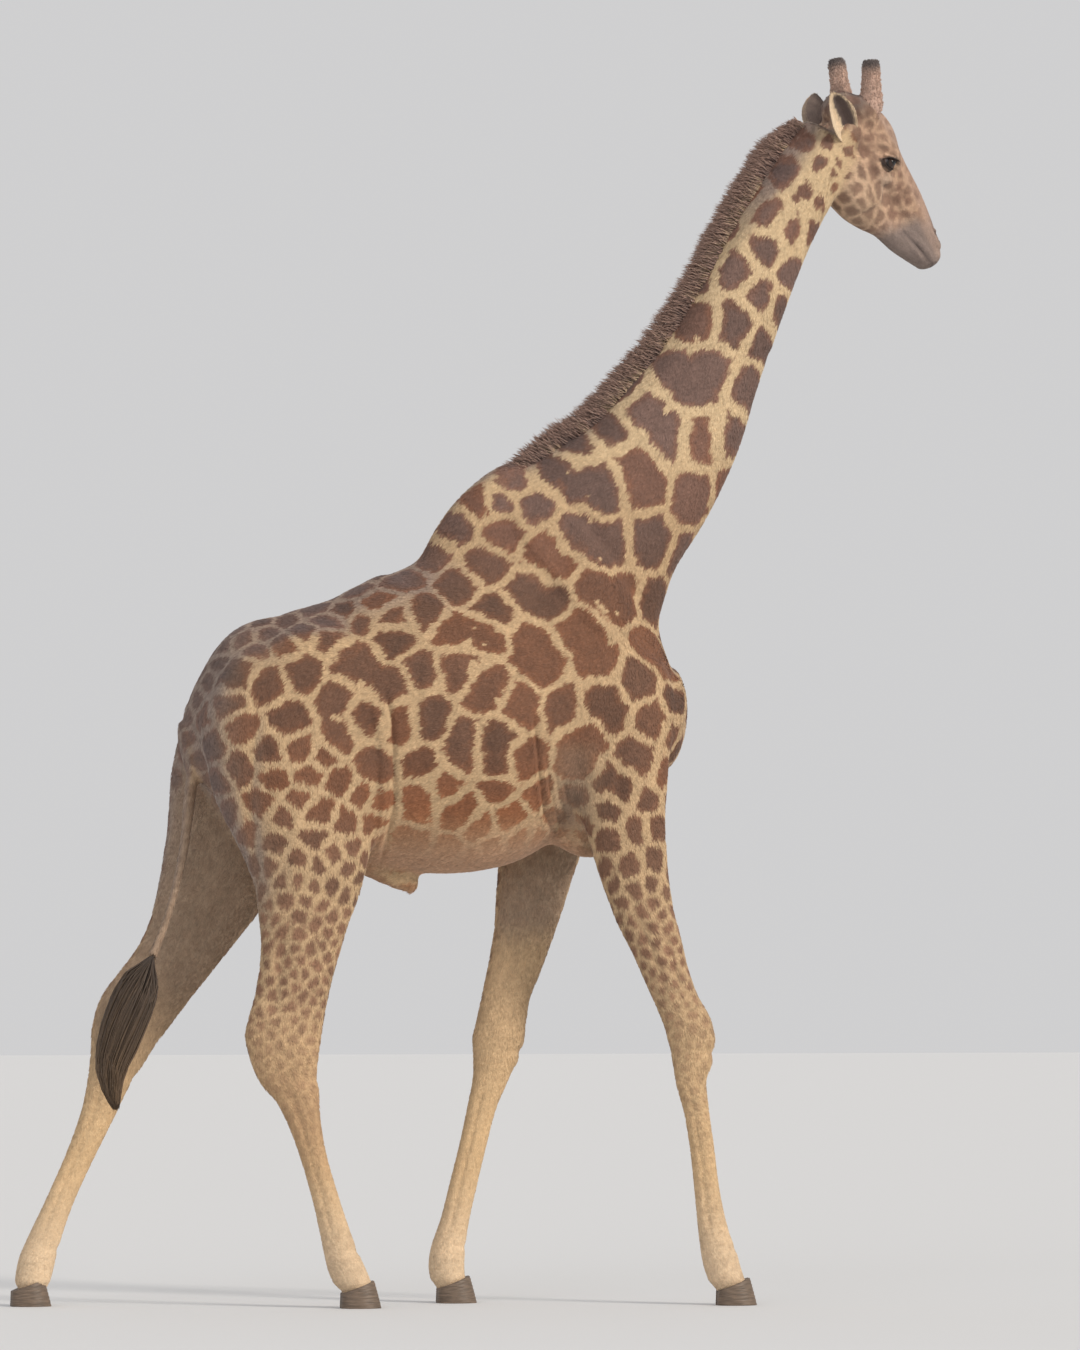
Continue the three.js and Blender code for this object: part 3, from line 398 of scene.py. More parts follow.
def first_skin():
    """One even mesh round the flesh, with eyes and hooves filling their places."""
    verts, faces, base = [], [], 0
    for name in FLESH + HOOVES + ["eye_right", "eye_left"]:
        me = nodes[name].data
        me.calc_loop_triangles()
        verts.append(points_of(me))
        faces.append(np.array([t.vertices[:] for t in me.loop_triangles]) + base)
        base += len(verts[-1])
    ob = bpy.data.objects.new("seed", make_mesh("seed", np.vstack(verts), np.vstack(faces)))
    bpy.context.scene.collection.objects.link(ob)
    remesh = ob.modifiers.new("even", "REMESH")
    remesh.mode, remesh.voxel_size = "VOXEL", VOXEL / 1000
    seen = ob.evaluated_get(bpy.context.evaluated_depsgraph_get())
    me = bpy.data.meshes.new_from_object(seen)
    bpy.data.objects.remove(ob)
    return me


def skin_depth(p):
    """How far the skin lies under the solids: least on the head, most inside the hooves."""
    head = smooth(-60, 40, head_coords(p)[:, 0]) * (p[:, 2] > HEAD_FROM)
    depth = COAT_DEPTH + (HEAD_DEPTH - COAT_DEPTH) * head
    depth = depth - 2 * (1 - smooth(500, 1400, p[:, 2]))
    return depth + 14 * (1 - smooth(52, 100, p[:, 2]))


def settle(p, steps=3):
    """Draws points onto the body's surface, less the coat's depth."""
    field = Field(p)
    f = field.value(p)
    slope = field.gradient(p, f)
    power = np.maximum((slope * slope).sum(1), 0.3)
    for _ in range(steps):
        p = p - slope * np.clip((f + skin_depth(p)) / power, -14, 14)[:, None]
        f = field.value(p)
    p[:, 2] = np.maximum(p[:, 2], LOWEST)
    return p


def relax(me, p, rounds):
    """Evens the mesh out by drawing each point towards its neighbours."""
    a, b = numbers(me.edges, "vertices", np.int32, 2).T
    count = np.bincount(np.concatenate([a, b]), minlength=len(p))[:, None]
    for _ in range(rounds):
        total = [np.bincount(a, q[b], len(p)) + np.bincount(b, q[a], len(p)) for q in p.T]
        p = p + 0.5 * (np.stack(total, 1) / np.maximum(count, 1) - p)
    return p


def refine(me, chosen):
    """Halves the edges of the faces whose middle is chosen."""
    def halve(bm):
        bm.faces.ensure_lookup_table()
        middles = plan(np.array([f.calc_center_median()[:] for f in bm.faces]))
        edges = list({e for i in np.flatnonzero(chosen(middles)) for e in bm.faces[i].edges})
        bmesh.ops.subdivide_edges(bm, edges=edges, cuts=1, use_grid_fill=True)
    edit(me, halve)


def everywhere(p):
    return np.ones(len(p), bool)


def face_and_legs(p):
    head = (head_coords(p)[:, 0] > 10) & (p[:, 2] > HEAD_FROM) & (p[:, 0] > 1200)
    joints = (p[:, 2] < 330) & (p[:, 2] > 70)
    tail = (p[:, 0] < -1030) & (np.abs(p[:, 1]) < 70) & (p[:, 2] > 1250)
    return head | joints | tail


EYE = np.array(EYE_AT, float)
EYE_OUT = unit([0.25, 0.12, 0.96])
EYE_SLANT = np.array([0.82, 0.57, 0])
EYE_LONG = unit(EYE_SLANT - EYE_OUT * (EYE_SLANT @ EYE_OUT))
EYE_UP = np.cross(EYE_OUT, EYE_LONG)
EYE_AXES = np.array([EYE_LONG, EYE_UP, EYE_OUT])


def half_head(p):
    """Coordinates in the head's frame, with its right side laid over its left."""
    s, u, v = head_coords(p).T
    return np.stack([s, u, np.abs(v)], 1)


def fine_places(p):
    suv = half_head(p)
    near_eye = np.linalg.norm(suv - EYE, axis=1) < 52
    mouth = (suv[:, 0] > 440) & (suv[:, 1] < 125) & (suv[:, 1] > 40)
    nostril = np.linalg.norm(suv - np.array([595, 178, 42]), axis=1) < 48
    return (near_eye | mouth | nostril) & (p[:, 2] > HEAD_FROM) & (p[:, 0] > 1200)


skin = first_skin()
for chosen, rounds in ((everywhere, 2), (face_and_legs, 1), (fine_places, 0)):
    refine(skin, chosen)
    put_points(skin, world(settle(relax(skin, plan(points_of(skin)), rounds))))
at = plan(points_of(skin))
on_head = smooth(-150, -40, head_coords(at)[:, 0]) * (at[:, 2] > HEAD_FROM)
at = mix(at, relax(skin, at, 6), smooth(1250, 1500, at[:, 2]) * (1 - on_head))
put_points(skin, world(at))
skin_tree = BVHTree.FromPolygons([v.co[:] for v in skin.vertices],
                                 [f.vertices[:] for f in skin.polygons])


# ------------------------------------------------------------------ finer shape of the skin
def on_skin(px, py):
    """The place on the skin seen at a point of the picture."""
    hit = skin_tree.ray_cast(Vector(world(CAM_AT)), Vector(sight(px, py)))[0]
    return plan(hit) if hit else None


def stroke(p, line, width, height):
    """A soft ridge (or groove) along a broken line, dying away at its two ends."""
    line = np.asarray(line, float)
    best, along = np.full(len(p), 1e9), np.zeros(len(p))
    for i, (a, b) in enumerate(zip(line[:-1], line[1:])):
        d = b - a
        t = np.clip((p - a) @ d / max(d @ d, 1e-9), 0, 1)
        gap = ((p - a - t[:, None] * d) ** 2).sum(1)
        closer = gap < best
        best, along = np.where(closer, gap, best), np.where(closer, i + t, along)
    ends = smooth(-0.15, 0.7, along) * smooth(-0.15, 0.7, len(line) - 1 - along)
    return height * ends * np.exp(-best / width ** 2)


# Folds and muscle edges: half-width, height, 1 if on both sides, then places in the picture.
FOLDS = table("""11 -13 1 534 712 538 745 541 778 545 812 553 842, 8 -8 0 545 748 551 790 560 825 574 852,
    7 -7 0 553 762 561 800 572 832 586 857, 7 -6 0 563 775 570 805 580 838,
    6 5 0 540 750 547 792 556 830 570 856, 10 9 0 577 812 584 832 588 852,
    11 -13 1 386 690 393 725 394 765 395 800 389 835 381 862,
    15 8 1 374 700 383 735 384 775 384 805 376 840, 26 -7 1 262 690 254 740 250 800 256 860 262 900,
    30 6 1 300 800 296 850 292 900, 30 9 1 505 505 545 560 590 615 640 672,
    34 -10 1 548 480 600 540 640 600 660 642, 34 9 1 600 700 590 745 592 790,
    18 -7 1 625 720 618 770 618 830, 20 -6 1 660 612 690 545 722 470 748 392 772 318 797 240 818 196,
    34 6 1 575 470 640 410 700 325 745 240 788 172, 20 3 1 430 640 424 700 428 770,
    20 3 1 463 630 458 700 462 780, 20 3 1 497 630 493 700 496 780, 6 -5 0 824 210 826 194 832 176,
    5 -4 0 830 212 832 196 838 180, 5 -3 0 818 208 820 192 826 174, 22 6 1 196 752 190 790 184 830""")


def fold_lift(p):
    lift = np.zeros(len(p))
    for width, height, both_sides, *seen in FOLDS:
        line = [q for q in (on_skin(*s) for s in np.reshape(seen, (-1, 2))) if q is not None]
        for way in (1, -1) if both_sides else (1,):
            lift += stroke(p, [q * [1, way, 1] for q in line], width, height)
    return lift


def bell(x, middle, width):
    return np.exp(-((x - middle) / width) ** 2)


def between(x, low, high, edge=60):
    return smooth(low, low + edge, x) * (1 - smooth(high - edge, high, x))


# Ridges along a leg, such as tendons: height, place and half-width from rear (-1) to front (1), lowest
# and highest point, and how softly it ends. Then knobs: height, middle and half-width in z, and between
# which places from rear to front they rise.
RIDGES = {"both": table("-5 -0.3 0.17 240 860 90, 2.5 0.5 0.2 260 800 90"),
          "fore": table("-6 0.3 0.16 1120 1640 120, -5 -0.35 0.16 1150 1600 120"),
          "hind": table("-13 -0.5 0.2 1060 1420 120, -6 0.3 0.18 1150 1620 140")}
KNOBS = {"both": table("-4 212 16 -0.2 0.4"),
         "fore": table("5 990 34 0.3 0.8, -4 948 14 0.2 0.7, 4 905 26 0.1 0.7, 6 1000 40 -0.5 -0.95"),
         "hind": table("-5 850 22 0 0.6, 5 1010 42 -0.5 -0.95")}


def leg_lift(name, p):
    """Tendons, bones and muscle edges of one leg."""
    tube = TUBES[name]
    ids = np.flatnonzero((p[:, 2] < 1800) & (p[:, 2] > 90))
    q = p[ids]
    g, extra = tube.value(q, tube.near(q, reach=60), True)
    z, flank = q[:, 2], smooth(0.25, 0.8, np.abs(extra[:, 2]))
    fore = extra[:, 1] * np.sign(tube.U[20][0])     # positive towards the front
    lift = 3 * bell(z, 175, 22) * flank
    if name.startswith("hind"):
        lift += 6 * bell(z, 930, 60) * bell(fore, 0.25, 0.35) * flank
    for kind in ("both", name[:4]):
        for height, middle, width, low, high, edge in RIDGES[kind]:
            lift += height * bell(fore, middle, width) * between(z, low, high, edge) * flank
        for height, middle, width, start, full in KNOBS[kind]:
            lift += height * bell(z, middle, width) * smooth(start, full, fore)
    out = np.zeros(len(p))
    out[ids] = np.where(g < 60, lift, 0)
    return out


# Ridges and grooves of the head, alike on both sides: half-width, height, then points in its frame.
# Crest of the face, jaw muscle, temple, mouth and lips, nostril, brow, and the hollow under the eye.
HEAD_LINES = table("""12 5 262 104 90 330 104 84 400 108 70 470 118 58, 14 -5 300 66 80 370 74 68 450 88 56,
    16 -6 330 20 70 318 -30 66 300 -70 58, 22 -8 120 120 100 90 150 98 80 180 86,
    18 -5 240 176 84 300 186 66 360 190 52,
    5 -7 478 66 52 520 74 50 575 85 46 622 94 36 655 99 18 664 100 0,
    9 3 470 84 54 520 92 54 575 102 52 625 112 44 655 117 24, 8 3 500 52 48 560 60 44 610 74 36 645 84 20,
    7 -4 468 62 52 462 48 52 460 30 50, 6 -13 566 176 42 582 186 46 602 184 46 620 170 44,
    8 5 556 184 36 580 200 38 608 198 38 630 182 40, 7 3 566 162 48 592 166 52 616 156 50,
    4 -4 640 150 0 660 128 0 664 110 0, 13 6 150 196 76 196 200 82 240 188 84,
    7 -4 165 96 100 215 84 100 262 84 94""")


def head_lift(p):
    suv, lift = half_head(p), np.zeros(len(p))
    ids = np.flatnonzero((suv[:, 0] > -60) & (p[:, 2] > HEAD_FROM) & (p[:, 0] > 1150))
    for width, height, *line in HEAD_LINES:
        lift[ids] += stroke(suv[ids], np.reshape(line, (-1, 3)), width, height)
    return lift


LID_LONG, LID_UP, LID_LOW, LID_ARCH = 34.0, 12.0, 24.0, 3.4
AWAY = 99.0               # stands for any place far from the eyes


def lids(p):
    """Opens the skin over the eyeball and rolls a lid round the opening. Also gives how far each
    point lies from the opening's edge."""
    out, opening = p.copy(), np.full(len(p), AWAY)
    for side in (1, -1):
        suv = head_coords(p) * [1, 1, side]
        q = (suv - EYE) @ EYE_AXES.T
        a, b, c = q.T
        near = (np.linalg.norm(q, axis=1) < 62) & (c > -6) & (p[:, 2] > HEAD_FROM)
        upper = b > 0
        high = np.where(upper, LID_UP, LID_LOW)
        edge = np.sqrt(np.abs(a / LID_LONG) ** np.where(upper, LID_ARCH, 2.0) + (b / high) ** 2)
        edge = (edge - 1) * high
        flat = np.sqrt(np.maximum(EYE_RADIUS ** 2 - a * a - b * b, 0))
        rim = np.sqrt(np.maximum((EYE_RADIUS + 4) ** 2 - a * a - b * b, 0)) + np.where(upper, 2.0, 0.5)
        wanted = np.where(edge < 0, flat - 7 + 6 * smooth(-3, 0, edge), np.maximum(rim, c - 30))
        hold = (1 - smooth(5, 22, edge)) * near
        c_new = c + (wanted - c) * hold
        c_new = c_new - 3.5 * bell(edge, 11, 3) * near * (b > 0) - 2.5 * bell(edge, 9, 3) * near * (b < 0)
        moved = in_head(np.stack([a, b, c_new], 1) @ EYE_AXES + EYE, side)
        out[near] = moved[near]
        opening = np.where(near, np.minimum(opening, edge), opening)
    return out, opening


def normals_of(me):
    me.update()
    return numbers(me.vertices, "normal").astype(float)


lift = fold_lift(at) + head_lift(at)
for leg in ("fore_right", "fore_left", "hind_right", "hind_left"):
    lift += leg_lift(leg, at)
at = at + normals_of(skin) * lift[:, None]
at, eye_edge = lids(at)
at[:, 2] = np.maximum(at[:, 2], LOWEST)
put_points(skin, world(at))

# ------------------------------------------------------------------ ears, grown into the same skin
EARS = {
    "right": ([26, 46, -74], [-196, 26, -158], [-0.15, -0.1, -1], 58),
    "left": ([22, 60, 74], [-86, 216, 199], [0.1, 0.1, 1], 70),
}
EAR_LENGTH, EAR_ROWS, EAR_ACROSS = 226, 44, 22


def ear_grid(root, tip, faces, broad):
    """Points and faces of one cupped leaf. For each point: 1 in its hollow and 0 on its back, the
    place across from -1 to 1, and the part of the length."""
    root, tip = in_head(root), in_head(tip)
    T = unit(tip - root)
    facing = np.array(faces, float) @ HEAD_AXES
    N = unit(facing - T * (facing @ T))
    s = np.linspace(-1, 1, EAR_ACROSS + 1)
    ring = np.concatenate([s, s[::-1]])
    side = np.repeat([1.0, -1.0], len(s))
    parts, verts = np.linspace(0, 1, EAR_ROWS) ** 0.9, []
    for t in parts:
        wide = broad * math.sin(math.pi * min(1, 0.17 + 0.83 * t) ** 1.05) ** 0.7 + 3
        cup = 34 * math.sin(math.pi * min(1, 0.1 + 0.9 * t))
        thick = 12 * (1 - t) ** 1.5 + 4
        pleat = 1.6 * np.cos(ring * 9) * (side > 0) * math.sin(math.pi * t)
        lift = cup * (ring ** 2 - 0.5) + side * thick * 0.5 * (1 - 0.7 * ring ** 2) + pleat
        lift += 7 * (np.abs(ring) ** 6) * (1 - t)
        verts.append(root + T * (EAR_LENGTH - 3) * t + np.outer(wide * ring, np.cross(T, N))
                     + np.outer(lift, N))
    n, last = len(ring), (EAR_ROWS - 1) * len(ring)
    quads = [[r * n + i, r * n + (i + 1) % n, (r + 1) * n + (i + 1) % n, (r + 1) * n + i]
             for r in range(EAR_ROWS - 1) for i in range(n)]
    quads += [[last + i, last + i + 1, last + n - 2 - i, last + n - 1 - i] for i in range(EAR_ACROSS)]
    quads += [[i + 1, i, n - 1 - i, n - 2 - i] for i in range(EAR_ACROSS)]
    return (np.vstack(verts), quads, np.tile((side > 0) * 1.0, EAR_ROWS), np.tile(ring, EAR_ROWS),
            np.repeat(parts, n))


# ------------------------------------------------------------------ noise
def lattice(i, seed):
    h = (i[:, 0] * 73856093) ^ (i[:, 1] * 19349663) ^ (i[:, 2] * 83492791) ^ (seed * 2654435761)
    h = (h ^ (h >> 13)) * 1274126177 & 0x7FFFFFFF
    return ((h ^ (h >> 16)) & 0xFFFF) / 32767.5 - 1


def noise(p, size, seed=0):
    """Smooth noise from -1 to 1 with features about `size` mm across."""
    q = np.asarray(p) / size + 37.7 * seed
    i = np.floor(q).astype(np.int64)
    f = q - i
    f = f * f * (3 - 2 * f)
    out = 0
    for step in np.ndindex(2, 2, 2):
        step = np.array(step[::-1])
        out = out + np.prod(np.where(step, f, 1 - f), axis=1) * lattice(i + step, seed)
    return out


def noise3(p, size, seed):
    return np.stack([noise(p, size, seed + k) for k in range(3)], 1)


# ------------------------------------------------------------------ regions of the coat
PARTS = ["barrel", "neck", "fore_right", "fore_left", "hind_right", "hind_left", "tail", "head"]


def colour(*rgb):
    """Linear colour from 0-255 display values."""
    c = np.array(rgb) / 255
    return np.where(c <= 0.04045, c / 12.92, ((c + 0.055) / 1.055) ** 2.4)


def locate(p):
    """Each point's shares in the parts; its length along and angle round each part, its depth and
    width in them, and the way its hair lies."""
    g, long, turn, fore, flow = [], [], [], [], []
    for name in PARTS[:-1]:
        tube = TUBES[name]
        value, extra = tube.value(p, tube.near(p), True)
        g.append(value)
        long.append(extra[:, 0] / tube.long[-1])
        turn.append(np.arctan2(extra[:, 2], extra[:, 1]) / (2 * math.pi) + 0.5)
        fore.append(extra[:, 1:3])
        way = tube.T[extra[:, 3].astype(int)]
        flow.append({"barrel": -way + [0, 0, -0.35], "neck": -way}.get(name, way))
    suv = head_coords(p)
    inside = (suv[:, 0] > -90) & (p[:, 2] > HEAD_FROM) & (p[:, 0] > 1100)
    skull, jaw = (TUBES[k].value(p, TUBES[k].near(p)) for k in ("skull", "jaw"))
    g.append(np.where(inside, np.minimum(skull, jaw), FAR))
    long.append(np.clip((suv[:, 0] + 90) / 780, 0, 1))
    turn.append(np.arctan2(suv[:, 2], suv[:, 1] - 105) / (2 * math.pi) + 0.5)
    flow.append(np.tile(-FACE - 0.15 * BROW, (len(p), 1)))
    near = np.exp(-np.clip(np.stack(g, 1), 0, 400) / 30)
    share = near / np.maximum(near.sum(1, keepdims=True), 1e-9)
    return share, *(np.stack(v, 1) for v in (long, turn, fore)), np.einsum(
        "np,npk->nk", share, np.stack(flow, 1))


def layered(base, *layers):
    """A colour or a measure, with others laid over it in turn, each by its own amount."""
    for over, amount in layers:
        base = mix(base, colour(*over) if isinstance(over, tuple) else over, amount)
    return base


def tones(p, n, share, fore, lid):
    """At points of the skin that face n: the ground's colour, the patches' colour and strength, how
    far apart they lie and how wide the channels are. lid is the distance from the eye's opening.
    The colours hold painted shade behind the elbow, and in part on the rump's rear and the legs' inner
    sides."""
    x, y, z = p.T
    barrel, neck, fr, fl, hr, hl, tail, head = share.T
    legs = fr + fl + hr + hl
    s, u, v = half_head(p).T
    up = n[:, 2]
    # inner: the legs' inner sides and the sides facing the body's middle. The greyer, darker ground laid
    # there is partly their plain grey-buff coat and partly painted shade.
    inner = sum(smooth(0.0, 0.5, way * fore[:, k, 1]) * share[:, k]
                for k, way in ((2, 1), (3, -1), (4, 1), (5, -1)))
    inner = np.clip(inner * smooth(0, 0.6, legs), 0, 1) * (1 - smooth(1850, 2050, z))
    to_middle = smooth(0.2, 0.75, n[:, 1] * -np.sign(y))
    inner = np.maximum(inner, legs * to_middle * (1 - smooth(1750, 1950, z)))
    back = smooth(0.45, 0.95, up) * (1 - head)
    # rear: the rump's rear, which faces away from the light. The grey ground and greyer patches laid there
    # are partly grey-buff coat and partly painted shade.
    rear = smooth(0.1, 0.8, -n[:, 0]) * smooth(-600, -900, x) * smooth(1250, 1700, z)
    belly = smooth(0.35, 0.85, -up) * barrel * smooth(2150, 1800, z)
    saddle = smooth(2450, 2750, z) * barrel * smooth(100, -300, x)
    poll = neck * smooth(3950, 4250, z) * smooth(0.0, 0.55, -n[:, 0] + 0.5 * up)
    # Painted shade in the hollow behind the elbow, over a coat a little browner there: it darkens the
    # ground and the patches and makes the patches weaker.
    elbow_shade = bell(x, 328, 78) * between(z, 1740, 2130, 90) * (barrel + fr + fl)
    elbow_shade *= smooth(0.2, 0.6, np.abs(n[:, 1]))
    low, leg, face = 1 - smooth(620, 1250, z), smooth(0.2, 0.6, legs), smooth(0.3, 0.7, head)

    blotch = smooth(-0.1, 0.7, noise(p, 30, 13) + 0.6 * noise(p, 12, 14))
    mouth = np.exp(-((u - 62 - 0.2 * (s - 470)) / 7) ** 2) * smooth(462, 480, s)
    slit = np.exp(-((u - 184) / 9) ** 2 - ((s - 594) / 30) ** 2 - ((v - 46) / 14) ** 2)
    face_colour = layered(
        colour(196, 162, 134),
        ((148, 116, 96), 0.75 * blotch * smooth(200, 150, u) * smooth(-40, 40, s)),
        ((208, 176, 146), smooth(60, -20, u) * smooth(430, 300, s)),
        ((184, 154, 134), smooth(190, 225, u) * smooth(420, 200, s)),
        ((216, 186, 160), bell(s, 262, 44) * bell(u, 78, 30) * 0.9),
        ((214, 182, 158), np.exp(-((s - 436) / 44) ** 2 - ((u - 8) / 30) ** 2) * 0.9),
        ((138, 122, 114), smooth(425, 500, s + 0.25 * (110 - u)) * smooth(160, 125, u) * 0.95),
        ((158, 136, 124), smooth(450, 540, s) * smooth(112, 150, u) * 0.9),
        ((112, 98, 92), bell(s, 560, 66) * smooth(176, 204, u) * 0.85),
        ((150, 112, 92), bell(s, 330, 110) * smooth(196, 226, u) * 0.5),
        ((172, 142, 126), bell(s, 440, 130) * smooth(150, 190, u) * 0.7),
        ((86, 74, 70), 0.55 * mouth),
        ((44, 36, 34), np.clip(1.3 * slit, 0, 1)),
        ((58, 46, 42), 1 - smooth(4, 10, lid)),
        ((214, 188, 164), bell(lid, 17, 8) * 0.5 * smooth(150, 170, u)),
        ((132, 113, 103), smooth(30, -60, s) * head * smooth(30, 100, u)))
    ground = layered(
        colour(194, 163, 125),
        ((205, 178, 140), neck * smooth(2900, 3300, z)),
        ((136, 116, 107), np.clip(back + 0.6 * saddle, 0, 0.8)),
        # Rump's rear: partly grey-buff coat, partly painted shade.
        ((142, 125, 116), 0.9 * rear),
        ((194, 152, 122), 0.85 * belly),
        ((212, 179, 136), legs * low),
        ((190, 155, 116), hr * low * smooth(300, 700, z)),
        ((220, 194, 162), legs * (1 - smooth(120, 560, z)) * 0.8),
        # Legs' inner sides: partly grey-buff coat, partly painted shade.
        ((158, 134, 112), inner * smooth(700 + 600 * fl, 1250 + 220 * fl, z) * 0.9),
        ((158, 134, 114), tail * 0.85),
        ((140, 120, 108), poll),
        # Painted shade behind the elbow.
        ((134, 112, 94), np.clip(0.75 * elbow_shade, 0, 1)))
    ground = mix(ground, face_colour, smooth(0.25, 0.7, head))
    patch = layered(
        colour(107, 76, 58),
        ((113, 88, 78), neck * smooth(2500, 3100, z)),
        ((96, 76, 70), np.clip(back + poll, 0, 1)),
        # Rump's rear: partly greyer coat, partly painted shade.
        ((100, 80, 74), rear),
        ((158, 98, 60), 0.8 * barrel * smooth(2100, 1750, z)),
        ((150, 96, 62), 0.55 * hr * smooth(-900, -600, x) * bell(z, 2060, 210)),
        ((140, 104, 80), legs * smooth(1950, 1250, z)),
        ((124, 92, 76), head),
        # Painted shade behind the elbow.
        ((100, 82, 70), np.clip(0.6 * elbow_shade, 0, 1)))

    strength = np.ones(len(p))
    # Weaker patches: behind the elbow as painted shade, and on the rump's rear and the legs' inner sides
    # partly as painted shade.
    for loss in (
            0.3 * np.clip(elbow_shade, 0, 1), 0.62 * belly + 0.35 * barrel * smooth(1850, 1650, z), 0.86 * inner,
            legs * (0.58 * smooth(1320 - 120 * hr, 900 - 60 * hr, z) + 0.28 * smooth(880, 480, z)),
            0.7 * tail, 0.25 * rear,
            head * (0.32 + 0.68 * smooth(400, 470, s) + 0.4 * smooth(170, 215, u) * smooth(40, 160, s)),
            head * (1 - smooth(6, 22, lid))):
        strength *= 1 - loss
    thigh, top = smooth(2050, 1200, z), np.clip(back + rear, 0, 1)
    spacing = layered(138, (118, neck * smooth(3200, 4200, z)), (84, top * barrel),
                      (104 - 62 * thigh, leg), (88, belly), (46, face), (38, tail))
    channel = layered(29, (39, neck * smooth(2700, 3300, z)), (20, top), (27 - 13 * thigh, leg),
                      (15, face), (12, tail))
    return ground, patch, np.clip(strength, 0, 1), spacing, channel


# ------------------------------------------------------------------ where the patches lie
# Middles of the patches on the seen side, as places in the picture; a long patch has several.
PATCHES = table("""790 172, 823 163, 808 192, 819 200, 812 143, 826 144, 770 212, 793 228, 811 230, 752 196,
    765 250, 716 250 738 268, 790 273, 763 297, 779 310, 697 320, 735 323, 763 345, 672 370 695 386 713 368,
    746 385, 646 412 668 434, 706 439, 732 435, 742 446, 609 430, 581 440, 636 470 644 486,
    556 473 580 485 600 490, 695 500, 580 530 608 544, 653 541, 535 503, 514 486, 504 500, 547 549 556 563,
    480 500, 502 530, 457 524, 530 588 550 600, 596 590 624 596, 655 605, 487 566, 433 555, 462 585,
    404 578, 427 610, 492 608, 398 640, 455 630 480 632, 577 632 598 660, 534 645 542 668, 637 680,
    650 648 664 664, 675 700, 652 722, 561 705, 603 702 615 716, 588 740 580 765, 635 755 648 762, 664 770,
    605 782 622 790, 425 670, 461 668, 485 690, 523 704, 436 718, 402 724, 466 733 464 755, 498 738 496 765,
    425 760, 530 760, 446 787, 494 788, 424 800, 461 808, 482 825, 507 818, 345 655 365 665 388 686,
    306 672, 268 686, 285 640, 304 630, 330 622, 331 640, 366 618, 394 617, 376 603, 348 610, 316 608,
    290 716, 333 700 338 736, 372 716, 245 730, 229 700, 244 664 236 676, 256 652, 303 750, 268 752,
    240 766, 322 757, 311 774, 340 782, 374 766, 272 778, 361 796, 377 800, 346 822, 371 822, 318 810,
    302 800, 284 816, 262 800, 610 812, 648 800, 633 830, 657 826, 608 840, 655 862, 630 868, 863 147,
    851 151, 842 163, 850 174, 837 186, 863 173, 873 171, 844 198, 851 211, 870 195, 879 189, 886 200,
    864 200, 879 218, 870 215, 869 125, 858 118, 868 138, 871 111, 836 174, 858 188""")
# Pale clefts that run into patches, each from one place in the picture to another.
CLEFTS = table("""363 683 366 698, 478 633 487 643, 666 412 660 425, 690 372 686 380, 604 645 614 641,
    722 262 729 254, 579 487 588 494, 333 716 341 719, 474 663 470 672, 614 598 618 612, 598 600 606 611,
    372 690 378 700, 470 640 476 628, 560 478 568 472, 560 545 566 552, 690 330 697 338, 498 700 506 704,
    585 528 592 520, 605 550 600 558, 540 664 548 659""")


def nearest_patches(p, seeds, owner, reach=240):
    """Distance to the nearest seed, to the nearest of any other patch, and the first one's patch."""
    d1, d2, who = np.full(len(p), FAR), np.full(len(p), FAR), np.zeros(len(p), int)
    cell = np.floor(p / 260).astype(np.int64)
    key = (cell[:, 0] * 4001 + cell[:, 1]) * 4001 + cell[:, 2]
    order = np.argsort(key, kind="stable")
    for ids in np.split(order, np.flatnonzero(np.diff(key[order])) + 1):
        low, high = p[ids].min(0) - reach, p[ids].max(0) + reach
        close = np.flatnonzero(((seeds > low) & (seeds < high)).all(1))
        if len(close):
            d = np.linalg.norm(p[ids][:, None] - seeds[close][None], axis=2)
            mine = owner[close][d.argmin(1)]
            d1[ids], who[ids] = d.min(1), mine
            d2[ids] = np.where(owner[close][None] == mine[:, None], FAR, d).min(1)
    return d1, d2, who


WARM = (156, 96, 58)      # tint of the redder patches and of every patch's edge
MOST_SEEDS = 6000


